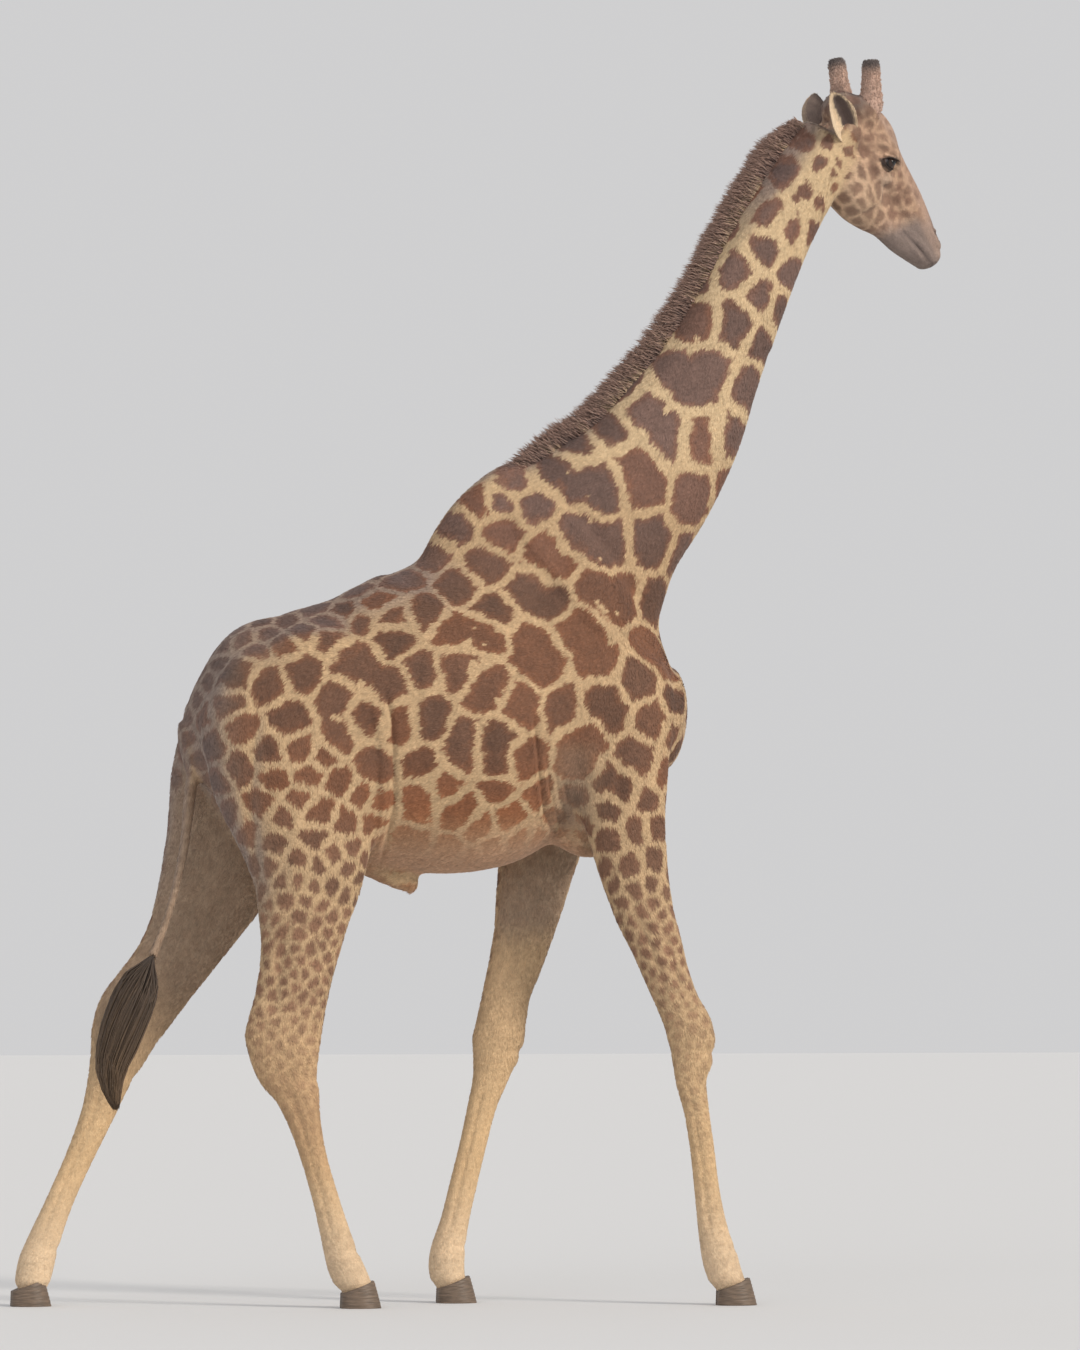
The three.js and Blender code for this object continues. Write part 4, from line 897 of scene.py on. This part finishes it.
class Markings:
    """The coat's pattern: seeds over the whole skin, and the colour it gives at any point."""
    def __init__(self, p, spacing):
        found = [(on_skin(*place), k) for k, group in enumerate(PATCHES)
                 for place in np.reshape(group, (-1, 2))]
        seeds, owner = (list(v) for v in zip(*(f for f in found if f[0] is not None)))
        given, count, n = len(seeds), len(PATCHES), len(seeds)
        held = np.zeros((MOST_SEEDS, 3))
        held[:n] = seeds
        for i in rng.permutation(len(p))[:60000]:
            gap = spacing[i] * 0.86
            apart = ((held[:n] - p[i]) ** 2).sum(1)
            clear = apart[:given].min() > (1.4 * gap) ** 2
            if clear and apart.min() > gap * gap and n < MOST_SEEDS:
                held[n] = p[i]
                owner.append(count)
                count, n = count + 1, n + 1
        self.seeds, self.owner = held[:n], np.array(owner)
        self.tone = rng.uniform(-1, 1, (count, 2))
        ends = ([on_skin(*row[:2]), on_skin(*row[2:])] for row in CLEFTS)
        self.clefts = [(a, b) for a, b in ends if a is not None and b is not None]

    def colours(self, p, ground, patch, strength, spacing, channel):
        small = np.clip(spacing / 138, 0.25, 1)
        shift = noise3(p, 120, 1) * 17 * small[:, None] + noise3(p, 44, 5) * 8 * small[:, None]
        d1, d2, who = nearest_patches(p + shift, self.seeds, self.owner)
        gap = np.minimum(channel, 0.36 * (d1 + d2)) / 2 * (1 + 0.3 * noise(p, 190, 11))
        inside = np.minimum((d2 - d1) / 2 - gap, spacing * 0.86 - d1 + 14 * noise(p, 60, 9) * small)
        for a, b in self.clefts:
            cut = stroke(p, [a - (b - a) * 0.5, a, b, b + (b - a) * 0.2], 10, -60)
            inside += cut * smooth(40, 16, inside)
        ragged = 5 * noise(p, 34, 23) + 6.5 * noise(p, 15, 21) + 4.5 * noise(p, 8, 22)
        inside = inside + ragged * np.sqrt(small)
        soft = 4 + 4.5 * smooth(88, 50, spacing)
        mask = smooth(-soft, soft, inside) * strength
        fleck = smooth(0.80, 0.9, noise(p, 13, 31)) * smooth(4, -8, inside) * (spacing > 95)
        fleck *= smooth(0.1, 0.5, noise(p, 160, 32))
        tone, large = self.tone[who], smooth(60, 120, spacing)
        dark = layered(patch * (1 + 0.16 * tone[:, :1]), (WARM, 0.32 * np.clip(tone[:, 1], 0, 1) * large),
                       (WARM, 0.3 * smooth(26, 0, inside) * large))
        dark = dark * (1 + 0.10 * noise(p, 30, 41) + 0.06 * noise(p, 9, 42))[:, None]
        pale = ground * (1 + 0.07 * noise(p, 70, 43) + 0.06 * noise(p, 11, 44))[:, None]
        return mix(pale, dark, np.clip(mask + 0.5 * fleck, 0, 1))


# ------------------------------------------------------------------ materials
def material(name, base=None, rough=0.8, grain=(90, 4.0), depth=(0.82, 1.12), bump=None, **more):
    """Principled material: a base colour, or else the points' own, broken up by fine grain. more
    holds other sockets by name; grain is scale and detail, bump is scale, height (m) and stretch."""
    mat = bpy.data.materials.new(name)
    mat.use_nodes = True
    new, link = mat.node_tree.nodes.new, mat.node_tree.links.new
    shader = mat.node_tree.nodes["Principled BSDF"]
    for key, value in {"Roughness": rough, **more}.items():
        shader.inputs[key.replace("_", " ")].default_value = value

    def noise_node(scale, detail, stretch=None):
        tex = new("ShaderNodeTexNoise")
        tex.inputs["Scale"].default_value, tex.inputs["Detail"].default_value = scale, detail
        source = new("ShaderNodeTexCoord").outputs["Object"]
        if stretch:
            mapping = new("ShaderNodeMapping")
            mapping.inputs["Scale"].default_value = stretch
            link(source, mapping.inputs["Vector"])
            source = mapping.outputs["Vector"]
        link(source, tex.inputs["Vector"])
        return tex.outputs["Fac"]

    target = shader.inputs["Base Color"]
    if grain:
        blend, ramp = new("ShaderNodeMix"), new("ShaderNodeValToRGB")
        blend.data_type, blend.blend_type = "RGBA", "MULTIPLY"
        blend.inputs[0].default_value = 1.0
        for stop, at, level in zip(ramp.color_ramp.elements, (0.3, 0.7), depth):
            stop.position, stop.color = at, (level, level, level, 1)
        link(noise_node(*grain), ramp.inputs["Fac"])
        link(ramp.outputs["Color"], blend.inputs[7])
        link(blend.outputs[2], target)
        target = blend.inputs[6]
    if base is None:
        own = new("ShaderNodeAttribute")
        own.attribute_name = "Col"
        link(own.outputs["Color"], target)
    else:
        target.default_value = (*base, 1)
    if bump:
        lift = new("ShaderNodeBump")
        lift.inputs["Strength"].default_value, lift.inputs["Distance"].default_value = 1.0, bump[1]
        link(noise_node(bump[0], 4.0, bump[2]), lift.inputs["Height"])
        link(lift.outputs["Normal"], shader.inputs["Normal"])
    return mat


SKIN_MAT = material("coat", None, 0.85, (160, 5.0), (0.86, 1.1), (420, 0.0012, None))
TUFT_MAT = material("tufts", None, 0.78, (60, 3.0), Sheen_Weight=0.12, Sheen_Roughness=0.5)
HAIR_MAT = material("mane", Sheen_Weight=0.1)
DARK_HAIR_MAT = material("tail_hair", rough=0.6)
HOOF_MAT = material("hoof_horn", colour(110, 92, 76), 0.5, (24, 5.0, (1, 1, 7)), (0.6, 1.25),
                    (60, 0.0014, (0.4, 0.4, 5)))
HORN_MAT = material("ossicone_skin", rough=0.85, bump=(300, 0.0015, None))
EYE_MAT = material("eye", rough=0.08, grain=None, Coat_Weight=0.35, Coat_Roughness=0.03,
                   Specular_IOR_Level=0.3)
FLOOR_MAT = material("floor", (0.70, 0.70, 0.70), 0.9, None)

# ------------------------------------------------------------------ the whole skin
body_count = len(at)
ears = {side: ear_grid(*EARS[side]) for side in EARS}


def add_ears(bm):
    for verts, quads, *_ in ears.values():
        new = [bm.verts.new(co) for co in world(verts)]
        for quad in quads:
            bm.faces.new([new[k] for k in quad])
    bmesh.ops.recalc_face_normals(bm, faces=bm.faces)


edit(skin, add_ears)
skin.polygons.foreach_set("use_smooth", np.ones(len(skin.polygons), bool))
normals = normals_of(skin)
at = plan(points_of(skin))
share, long, turn, fore, flow = locate(at[:body_count])
looks = tones(at[:body_count], normals[:body_count], share, fore, eye_edge)
markings = Markings(at[:body_count], looks[3])

# The coat's map: along and round each part. The head's keeps its last tenth for the ears.
HEAD = PARTS.index("head")
main = share.argmax(1)
rows = np.arange(body_count)
flat = [np.stack([long[rows, main] * np.where(main == HEAD, 0.88, 1), turn[rows, main]], 1)]
colours, flows = [markings.colours(at[:body_count], *looks)], [flow]
EAR_RIM, EAR_HOLLOW = colour(232, 206, 172), colour(92, 76, 70)
# The left ear is the far one. Its back gets a darker tan and a fainter pale edge than the right ear's, as
# painted shade on the same coat.
EAR_BACKS = {"right": (colour(150, 128, 110), 0.8, 1), "left": (colour(122, 104, 94), 0.25, -1)}
for side, (v, _, hollow, across, along) in ears.items():
    tan, edging, way = EAR_BACKS[side]
    across = across * way                    # -1 at the rear edge
    rim = (smooth(0.12, -0.14, across + 0.10 * noise(v, 14, 52)) + smooth(0.76, 0.95, across)
           + smooth(0.84, 0.96, along) + smooth(0.24, 0.12, along + 0.12 * across))
    tan = mix(tan, EAR_RIM, smooth(0.8, 1, np.abs(across)) * edging)
    tint = mix(tan, mix(EAR_HOLLOW, EAR_RIM, np.clip(rim, 0, 1)), hollow)
    colours.append(tint * (1 + 0.07 * noise(v, 12, 51))[:, None])
    flows.append(np.tile(in_head(EARS[side][1]) - in_head(EARS[side][0]), (len(v), 1)))
    ring = np.tile(np.linspace(0, 1, len(v) // EAR_ROWS), EAR_ROWS)
    flat.append(np.stack([0.90 + 0.045 * (len(flat) - 1) + 0.04 * ring, along], 1))
all_colour, flow, flat = (np.vstack(v) for v in (colours, flows, flat))
paint_mesh(skin, all_colour)
skin_ob = add_object("skin", skin, SKIN_MAT, "coat")
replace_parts(skin_ob, *FLESH, "ear_right", "ear_left")

# ------------------------------------------------------------------ the coat in tufts
on_ears = len(at) - body_count
looks = [np.concatenate([v, np.zeros((on_ears, *v.shape[1:]))]) for v in looks]
main = np.append(main, [HEAD] * on_ears)
head_share = np.append(share[:, HEAD], np.ones(on_ears))
flow = unit(flow - normals * (flow * normals).sum(1, keepdims=True))
# Hair that swirls a little keeps the coat from looking combed by a machine.
flow = unit(flow + 0.22 * noise3(at, 150, 61) + 0.10 * noise3(at, 35, 64))
COAT_PIECES = {"trunk": [0], "neck": [1], "forelegs": [2, 3], "hindlegs": [4, 5, 6], "head": [7]}
for group in COAT_PIECES.values():
    for k, part in enumerate(group if len(group) > 1 else ()):
        flat[main == part, 1] = (k + 0.02 + 0.96 * flat[main == part, 1]) / len(group)

skin.calc_loop_triangles()
tri = numbers(skin.loop_triangles, "vertices", np.int32)
corner = at[tri]
area = np.linalg.norm(np.cross(corner[:, 1] - corner[:, 0], corner[:, 2] - corner[:, 0]), axis=1) / 2
middle = corner.mean(1)
low_leg = 1 - smooth(300, 1100, middle[:, 2])
on_head = head_share[tri].mean(1)
muzzle = smooth(420, 540, head_coords(middle)[:, 0]) * on_head
hair_long = np.clip(17 - 7 * low_leg - 8 * on_head - 3 * muzzle, 5, 20)
weight = area * (1 + 0.8 * low_leg) * (1 + 0.3 * muzzle)
open_eye = np.append(eye_edge, np.full(on_ears, AWAY))[tri].min(1) < 3
weight[(middle[:, 2] < HOOF_HEEL) | open_eye] = 0
TUFT_SHADE = [0.94, 0.94, 1.10, 1.15]        # two points of the root, middle, tip


def across_normal(d, n):
    return unit(d - n * (d * n).sum(1, keepdims=True))


def tufts(name, count, members):
    """One coat piece: a thin three-sided lock at each root, lying along the body."""
    w = weight * np.isin(main[tri[:, 0]], members)
    count = int(count * (1))
    pick = np.sort(rng.choice(len(tri), count, p=w / w.sum()))
    r = rng.random((count, 2))
    flip = r.sum(1) > 1
    r[flip] = 1 - r[flip]
    shares, ids = np.stack([1 - r.sum(1), r[:, 0], r[:, 1]], 1), tri[pick]

    def spread(values):
        return np.einsum("nk,nk...->n...", shares, values[ids])

    root, n = spread(at), unit(spread(normals))
    d = spread(flow)
    d = unit(d - n * (d * n).sum(1, keepdims=True) + 0.12 * rng.normal(size=(count, 3)))
    d = across_normal(d, n)
    size = hair_long[pick] * rng.uniform(0.75, 1.25, count)
    col = all_colour[ids[:, 0]]
    body = ids[:, 0] < body_count
    col[body] = markings.colours(root[body], *(spread(v)[body] for v in looks))
    col *= rng.uniform(0.9, 1.1, (count, 1))
    side = np.cross(n, d) * (0.115 * size + 0.35)[:, None]
    foot = root - n * 1.0 - d * 0.1 * size[:, None]
    points = np.stack([
        foot - side, foot + side, root + d * (0.42 * size)[:, None] + n * (0.10 * size + 0.6)[:, None],
        root + d * size[:, None] + n * (rng.uniform(0.05, 0.22, count) * size)[:, None]], 1)
    first = 4 * np.arange(count)[:, None]
    faces = np.concatenate([first + [0, 3, 2], first + [1, 2, 3], first + [0, 2, 1]], 1).reshape(-1, 3)
    me = make_mesh(name, world(points.reshape(-1, 3)), faces)
    paint_mesh(me, (col[:, None] * np.array(TUFT_SHADE)[None, :, None]).reshape(-1, 3))
    # Each tuft has a small patch of the map, at its root's place on the unwrapped skin.
    corners = np.array([[0, 0], [1, 0], [0.5, 0.55], [0.5, 1]]) * 0.003
    anchor = flat[ids[:, 0]] * 0.992 + 0.003
    anchor += rng.uniform(-0.0006, 0.0006, anchor.shape)
    lay_out(me, anchor[:, None] + corners[[0, 3, 2, 1, 2, 3, 0, 2, 1]][None])
    add_object(name, me, TUFT_MAT, "coat")


MOST_TUFTS = 66000        # in one piece
for part, total in TUFTS.items():
    pieces = max(1, math.ceil(total / MOST_TUFTS))
    for k in range(pieces):
        tufts(f"coat_{part}_{k + 1}" if pieces > 1 else f"coat_{part}", total // pieces, COAT_PIECES[part])


# ------------------------------------------------------------------ longer hair
def spikes(name, paths, widths, colours, mat, slot, places, replaces=()):
    """Three-sided tapering hairs along paths (hair, step, xyz). places: each root's spot on a flat map."""
    count, steps = paths.shape[:2]
    along = unit(np.gradient(paths, axis=1))
    other = np.broadcast_to(unit(rng.normal(size=(count, 1, 3))), along.shape)
    A = unit(np.cross(along, other))
    B = np.cross(along, A)
    rings = [paths + (A * math.cos(t) + B * math.sin(t)) * widths[..., None]
             for t in (2 * math.pi * k / 3 for k in range(3))]
    points = np.concatenate([np.stack(rings, 2)[:, :-1].reshape(count, -1, 3), paths[:, -1:]], 1)
    top, per = 3 * (steps - 2), points.shape[1]
    corners = []
    for s in range(0, top, 3):
        for a, b in ((s, s + 1), (s + 1, s + 2), (s + 2, s)):
            corners += [[a, b, b + 3], [a, b + 3, a + 3]]
    corners = np.array(corners + [[top + k, top + (k + 1) % 3, per - 1] for k in range(3)])
    faces = (per * np.arange(count)[:, None, None] + corners[None]).reshape(-1, 3)
    me = make_mesh(name, world(points.reshape(-1, 3)), faces)
    tint = np.concatenate([np.repeat(colours[:, :-1], 3, axis=1), colours[:, -1:]], 1)
    paint_mesh(me, tint.reshape(-1, 3))
    place = np.clip(places, 0, 1)[:, None] * 0.99 + rng.uniform(0, 0.004, (count, 1, 2))
    level = np.array([[s / steps, k / 3] for s in range(steps - 1) for k in range(3)] + [[1, 0.5]])
    lay_out(me, place + 0.003 * level[corners.ravel()][None])
    ob = add_object(name, me, mat, slot)
    if replaces:
        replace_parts(ob, *replaces)


def ramp_colours(a, b, steps, jitter, count):
    t = np.linspace(0, 1, steps)[None, :, None]
    a, b = np.atleast_2d(a)[:, None], np.atleast_2d(b)[:, None]
    return (a + (b - a) * t) * rng.uniform(1 - jitter, 1 + jitter, (count, 1, 1))


def sampled(tube, part, keys):
    """Values of a sampled tube at parts of its length."""
    k = part * (len(tube["c"]) - 1)
    i = np.clip(k.astype(int), 0, len(tube["c"]) - 2)
    for value in (tube[key] for key in keys):
        f = (k - i)[:, None] if value.ndim > 1 else k - i
        yield value[i] * (1 - f) + value[i + 1] * f


def coat_colour(p, n):
    """The coat's colour at any points near the body, given which way they face."""
    share, _, _, fore, _ = locate(p)
    return markings.colours(p, *tones(p, n, share, fore, np.full(len(p), AWAY)))


# Mane: stiff upright hair along the crest of the neck, in two halves mixed together.
MANE_HAIRS, MANE_HEIGHT = 8600, 66
MANE_TINTS = [((120, 100, 92), 0.3), ((130, 107, 98), 0.65), ((150, 121, 107), 1), ((188, 152, 134), 1)]
WISP_AT = on_skin(726, 234)
for half in ("a", "b"):
    t = rng.uniform(0.065, 0.995, MANE_HAIRS)
    c, a, V, U, T = sampled(vars(TUBES["neck"]), t, "caVUT")
    V, U, T = unit(V), unit(U), unit(T)
    U = U * np.sign(U[:, 2:3])
    off = np.clip(rng.normal(0, 0.5, MANE_HAIRS), -1.1, 1.1)
    away = np.abs(off)[:, None]
    far = np.clip((20 * t - 1) / 19, 0, 1)
    tall = 24 + MANE_HEIGHT * np.minimum(1, far * 5) * np.minimum(1, (1 - far) * 8 + 0.15)
    root = c + V * (off * (24 + 7 * (1 - t)))[:, None] + U * (a - 12 - 9 * off ** 2)[:, None]
    flank = root + V * np.sign(off)[:, None] * (14 + 20 * away) - U * (10 + 20 * away)
    lean = unit(U + V * (0.42 * off)[:, None] - T * rng.uniform(0.0, 0.30, MANE_HAIRS)[:, None]
                + 0.10 * noise3(root, 46, 65) + 0.14 * rng.normal(size=(MANE_HAIRS, 3)))
    size = ((tall + 14) * rng.uniform(0.5, 1.04, MANE_HAIRS) * (1 - 0.42 * off ** 2))[:, None]
    bend = 0.16 * size * (-0.5 * T + 0.5 * noise3(root, 18, 68))
    paths = np.stack([root + lean * up * size + bend * turned
                      for up, turned in ((0, 0), (0.42, 0.1), (0.76, 0.45), (1, 1))], 1)
    widths = np.array([3.3, 2.8, 1.8, 0]) * rng.uniform(0.75, 1.25, (MANE_HAIRS, 1))
    own = coat_colour(flank, V * np.sign(off)[:, None])
    tint = rng.uniform(0.84, 1.16, (MANE_HAIRS, 1, 1)) * np.stack(
        [mix(own, colour(*over), amount) for over, amount in MANE_TINTS], 1)
    if WISP_AT is not None:
        wisp = np.abs((root - WISP_AT) @ T[len(T) // 2]) < 9
        tint[wisp] = tint[wisp] * 0.35 + 0.65 * colour(196, 172, 142)
    spikes(f"mane_hair_{half}", paths, widths, tint, HAIR_MAT, "mane_hair",
           np.stack([t, 0.5 + 0.4 * off], 1), ("mane",) if half == "a" else ())

# Tail: long dark hair that falls from the tail's end.
TAIL_HAIRS = 1500
start = rng.uniform(0, 0.22, TAIL_HAIRS) ** 1.2
end = np.clip(rng.normal(0.84, 0.16, TAIL_HAIRS), 0.45, 1.0)
theta, rad = rng.uniform(0, 2 * math.pi, TAIL_HAIRS), np.sqrt(rng.random(TAIL_HAIRS))
taper = np.array([1, 1.1, 1.1, 1.05, 1, 0.9, 0.75, 0.5, 0])
tuft, paths = sample_tube(TUFT, SIDE, 6), []
for s in np.linspace(0, 1, len(taper)):
    c, U, a, V, b = sampled(tuft, start + (end - start) * s, "cUaVb")
    ring = (U * (a * np.cos(theta + 0.4 * s))[:, None] + V * (b * np.sin(theta + 0.4 * s))[:, None])
    wave = noise3(np.stack([theta * 40, rad * 90, np.full(TAIL_HAIRS, 40.0 * s)], 1), 30, 71) * 7 * s
    paths.append(c + ring * (rad * (0.30 + 0.70 * smooth(0, 0.25, s)))[:, None] + wave)
widths = 2.6 * taper[None] * rng.uniform(0.7, 1.2, (TAIL_HAIRS, 1))
tint = ramp_colours(colour(60, 48, 40), colour(112, 90, 68), len(taper), 0.3, TAIL_HAIRS)
spikes("tail_hair", np.stack(paths, 1), widths, tint, DARK_HAIR_MAT, "tuft_hair",
       np.stack([theta / (2 * math.pi), 0.5 + 0.45 * rad], 1), ("tail_tuft",))


# ------------------------------------------------------------------ ossicones
def loft_faces(rows, count):
    r, i = np.meshgrid(np.arange(rows - 1), np.arange(count), indexing="ij")
    a, b = r * count + i, r * count + (i + 1) % count
    return np.concatenate([np.stack([a, b, b + count], -1),
                           np.stack([a, b + count, a + count], -1)]).reshape(-1, 3)


def fan(first, count, middle):
    """Faces from a ring of points to one in its middle."""
    return [[first + i, first + (i + 1) % count, middle] for i in range(count)]


HORN_BASE, HORN_TIP = colour(192, 160, 142), colour(112, 100, 96)
HORN_ROUND, HORN_HAIRS, DOME = 40, 3600, 24
for side, way in (("right", -1), ("left", 1)):
    foot = np.array(OSSICONE[0][:3])
    grown = [[*(foot + (np.array(r[:3]) - foot) * OSSICONE_GROWTH[side]), *r[3:]] for r in OSSICONE]
    tube = sample_tube(head_rows(grown, way), LEFT, 7)
    turn = 2 * np.pi * np.arange(HORN_ROUND) / HORN_ROUND
    out = (tube["U"][:, None] * (tube["a"][:, None] * np.cos(turn))[..., None]
           + tube["V"][:, None] * (tube["b"][:, None] * np.sin(turn))[..., None])
    rows = len(out)
    axis, out = np.repeat(tube["c"], HORN_ROUND, axis=0), out.reshape(-1, 3)
    tall = np.repeat(np.linspace(0, 1, rows), HORN_ROUND)
    reach = np.linalg.norm(np.diff(tube["c"], axis=0), axis=1).sum()
    beyond = np.maximum(tall * reach - (reach - DOME), 0) / (DOME + 1)
    p = axis + out * np.sqrt(np.clip(1 - beyond ** 2, 0.06, 1))[:, None]
    knobs = (1.6 * noise(p, 16, 81) + 1.0 * noise(p, 7, 82)) * smooth(0.95, 0.3, tall) - 2.5
    outward = unit(out)
    p = p + outward * knobs[:, None]
    verts = np.vstack([p, tube["c"][-1] + unit(tube["c"][-1] - tube["c"][-4])])
    faces = np.vstack([loft_faces(rows, HORN_ROUND), fan(len(p) - HORN_ROUND, HORN_ROUND, len(p))])
    me = make_mesh(f"ossicone_{side}_skin", world(verts), faces)
    c = mix(HORN_BASE, HORN_TIP, np.append(smooth(0.55, 0.85, tall), 1))
    paint_mesh(me, c * (1 + 0.12 * noise(verts, 22, 83) + 0.08 * noise(verts, 8, 84))[:, None])
    ob = add_object(f"ossicone_{side}_skin", me, HORN_MAT, "ossicone_coat")
    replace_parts(ob, f"ossicone_{side}")
    # Short hair up the horn, a little longer and darker round its blunt top.
    k = rng.integers(0, rows - 1, HORN_HAIRS) * HORN_ROUND + rng.integers(0, HORN_ROUND, HORN_HAIRS)
    root = p[k] + rng.normal(size=(HORN_HAIRS, 3)) * 1.5
    top = tall[k]
    d = unit(outward[k] * (0.35 + 0.5 * smooth(0.8, 1, top))[:, None]
             + unit(tube["c"][-1] - tube["c"][0]) + 0.18 * rng.normal(size=(HORN_HAIRS, 3)))
    size = (8.5 + 3 * bell(top, 0.8, 0.10)) * (1 - 0.45 * smooth(0.86, 1, top))
    size = (size * rng.uniform(0.7, 1.2, HORN_HAIRS))[:, None]
    paths = np.stack([root - d * 1.5, root + d * 0.5 * size, root + d * size], 1)
    c = mix(HORN_BASE, HORN_TIP * 0.8, smooth(0.5, 0.8, top))
    spikes(f"ossicone_{side}_hair", paths, np.broadcast_to([1.5, 1.3, 0.0], (HORN_HAIRS, 3)),
           ramp_colours(c * 0.9, c * 1.1, 3, 0.12, HORN_HAIRS), TUFT_MAT, "ossicone_coat",
           np.stack([(k % HORN_ROUND) / HORN_ROUND, top], 1))


# ------------------------------------------------------------------ eyes and lashes
LASHES = 70
lashes = []
for side, way in (("right", -1), ("left", 1)):
    me = bpy.data.meshes.new(f"eye_{side}_ball")
    edit(me, lambda bm: bmesh.ops.create_uvsphere(bm, u_segments=64, v_segments=48, radius=1))
    q = points_of(me)                       # x to the nose, y up, z outwards
    r, front = np.hypot(q[:, 0], q[:, 1]), q[:, 2] > 0
    cornea = 1 + 0.05 * smooth(0.62, 0.3, r) * front
    put_points(me, world(in_head((q * (EYE_RADIUS - 0.4) * cornea[:, None]) @ EYE_AXES + EYE, way)))
    if way < 0:
        me.flip_normals()
    pupil = smooth(1.15, 0.9, np.hypot(q[:, 0] / 0.42, q[:, 1] / 0.24)) * front
    iris = colour(52, 34, 24) * (1 + 0.3 * noise(q * 100, 8, 91))[:, None]
    paint_mesh(me, layered(iris, ((10, 8, 8), pupil), ((30, 22, 20), smooth(0.66, 0.74, r)),
                           ((96, 78, 70), smooth(0.86, 0.98, r))))
    me.polygons.foreach_set("use_smooth", np.ones(len(me.polygons), bool))
    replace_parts(add_object(f"eye_{side}_ball", me, EYE_MAT, "eye"), f"eye_{side}")
    for k in range(LASHES):
        f = rng.uniform(-0.95, 0.95)
        upper = k % 5 != 0
        x = LID_LONG * f
        y = (LID_UP * math.sqrt(1 - abs(f) ** LID_ARCH) + 2.5 if upper
             else -LID_LOW * math.sqrt(1 - f * f) - 1.5)
        root = np.array([x, y, math.sqrt(max((EYE_RADIUS + 5) ** 2 - x * x - y * y, 0)) - 2])
        length = (20 if upper else 6) * rng.uniform(0.8, 1.15)
        lash = unit([0.35 * f, 0.10 if upper else -0.5, 1.0]) * length
        bend = np.array([0, -0.35 if upper else -0.1, 0]) * length
        line = [root, root + lash * 0.4 + bend * 0.1, root + lash * 0.75 + bend * 0.45, root + lash + bend]
        lashes.append(in_head(np.array(line) @ EYE_AXES + EYE, way))
spikes("lashes", np.array(lashes), np.broadcast_to([0.8, 0.65, 0.4, 0.0], (len(lashes), 4)),
       ramp_colours(colour(30, 24, 22), colour(40, 32, 28), 4, 0.1, len(lashes)),
       DARK_HAIR_MAT, "coat", rng.random((len(lashes), 2)))

# ------------------------------------------------------------------ hooves
FEET = {"fore_right": (958, -180), "fore_left": (-44, 180),
        "hind_right": (-464, -183), "hind_left": (-1652, 183)}
HOOF_ROUND = 64


def hoof(name, foot, way):
    """One claw, ring by ring from its sole to its top, with faint growth rings."""
    t = 2 * np.pi * (np.arange(HOOF_ROUND) + 0.5) / HOOF_ROUND
    ahead, out, rings = np.cos(t), np.sin(t), []
    for f in [0, 0.015, *np.linspace(0.05, 1, 22)]:
        wide = HOOF_HALF_WIDTH * (1 - 0.1 * f) - CLEFT
        taper = 1 - 0.28 * np.maximum(0, ahead) ** 2
        y = np.where(out > 0, wide * taper * np.abs(out) ** 0.75, -3 * np.abs(out) * (1 - f))
        x = ahead * (HOOF_LENGTH / 2) * (1 - 0.2 * f) - 13 * f
        worn = 0.98 if f == 0 else 1
        ridge = 0.7 * math.sin(f * 46) * (0.05 < f < 0.95)
        x, y = x * worn + ridge * ahead, CLEFT + 3 + y * worn + ridge * np.maximum(out, 0)
        top = HOOF_HEEL + (HOOF_TOE - HOOF_HEEL) * ((x + 62) / 110)
        rings.append(np.stack([foot[0] + x, foot[1] + way * y, f * top - (2 if f == 1 else 0)], 1))
    verts = np.vstack([*rings, rings[0].mean(0), rings[-1].mean(0)])
    count, last = len(verts) - 2, len(verts) - 2 - HOOF_ROUND
    me = make_mesh(name, world(verts), np.vstack([
        loft_faces(len(rings), HOOF_ROUND), fan(0, HOOF_ROUND, count), fan(last, HOOF_ROUND, count + 1)]))
    edit(me, lambda bm: bmesh.ops.recalc_face_normals(bm, faces=bm.faces))
    return add_object(name, me, HOOF_MAT, "hoof_horn")


for foot, place in FEET.items():
    for claws, way in (("outer", np.sign(place[1])), ("inner", -np.sign(place[1]))):
        node = f"hoof_{foot}_{claws}"
        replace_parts(hoof(node + "_claw", place, way), node)

# ------------------------------------------------------------------ floor, light, camera
HALF_FLOOR = 60
corners = [(x * HALF_FLOOR, y * HALF_FLOOR, 0) for x, y in ((-1, -1), (1, -1), (1, 1), (-1, 1))]
add_object("floor", make_mesh("floor", corners, [[0, 1, 2, 3]]), FLOOR_MAT)

room = bpy.data.worlds.new("room")
bpy.context.scene.world = room
room.use_nodes = True
sky = room.node_tree.nodes["Background"].inputs
sky[0].default_value, sky[1].default_value = (0.668, 0.666, 0.672, 1), 0.94


def sun(name, power, spread, toward, tint):
    light = bpy.data.lights.new(name, "SUN")
    light.energy, light.angle, light.color = power, math.radians(spread), tint
    ob = bpy.data.objects.new(name, light)
    bpy.context.scene.collection.objects.link(ob)
    ob.rotation_mode = "QUATERNION"
    ob.rotation_quaternion = Vector(toward).to_track_quat("-Z", "Y")


sun("key", 2.0, 14, (-0.62, 0.66, -0.50), (1.0, 0.94, 0.86))
sun("fill", 0.35, 40, (0.5, 0.8, -0.4), (0.85, 0.9, 1.0))

lens = bpy.data.cameras.new("camera")
lens.lens, lens.sensor_width = 36 * FOCAL / PICTURE[1], 36
lens.clip_start, lens.clip_end = 0.5, 200
camera = bpy.data.objects.new("camera", lens)
bpy.context.scene.collection.objects.link(camera)
turned = Matrix((CAM_RIGHT, CAM_UP, -CAM_LOOK)).transposed().to_4x4()
camera.matrix_world = Matrix.Translation(Vector(world(CAM_AT))) @ turned
bpy.context.scene.camera = camera
bpy.context.scene.view_settings.view_transform = "Standard"
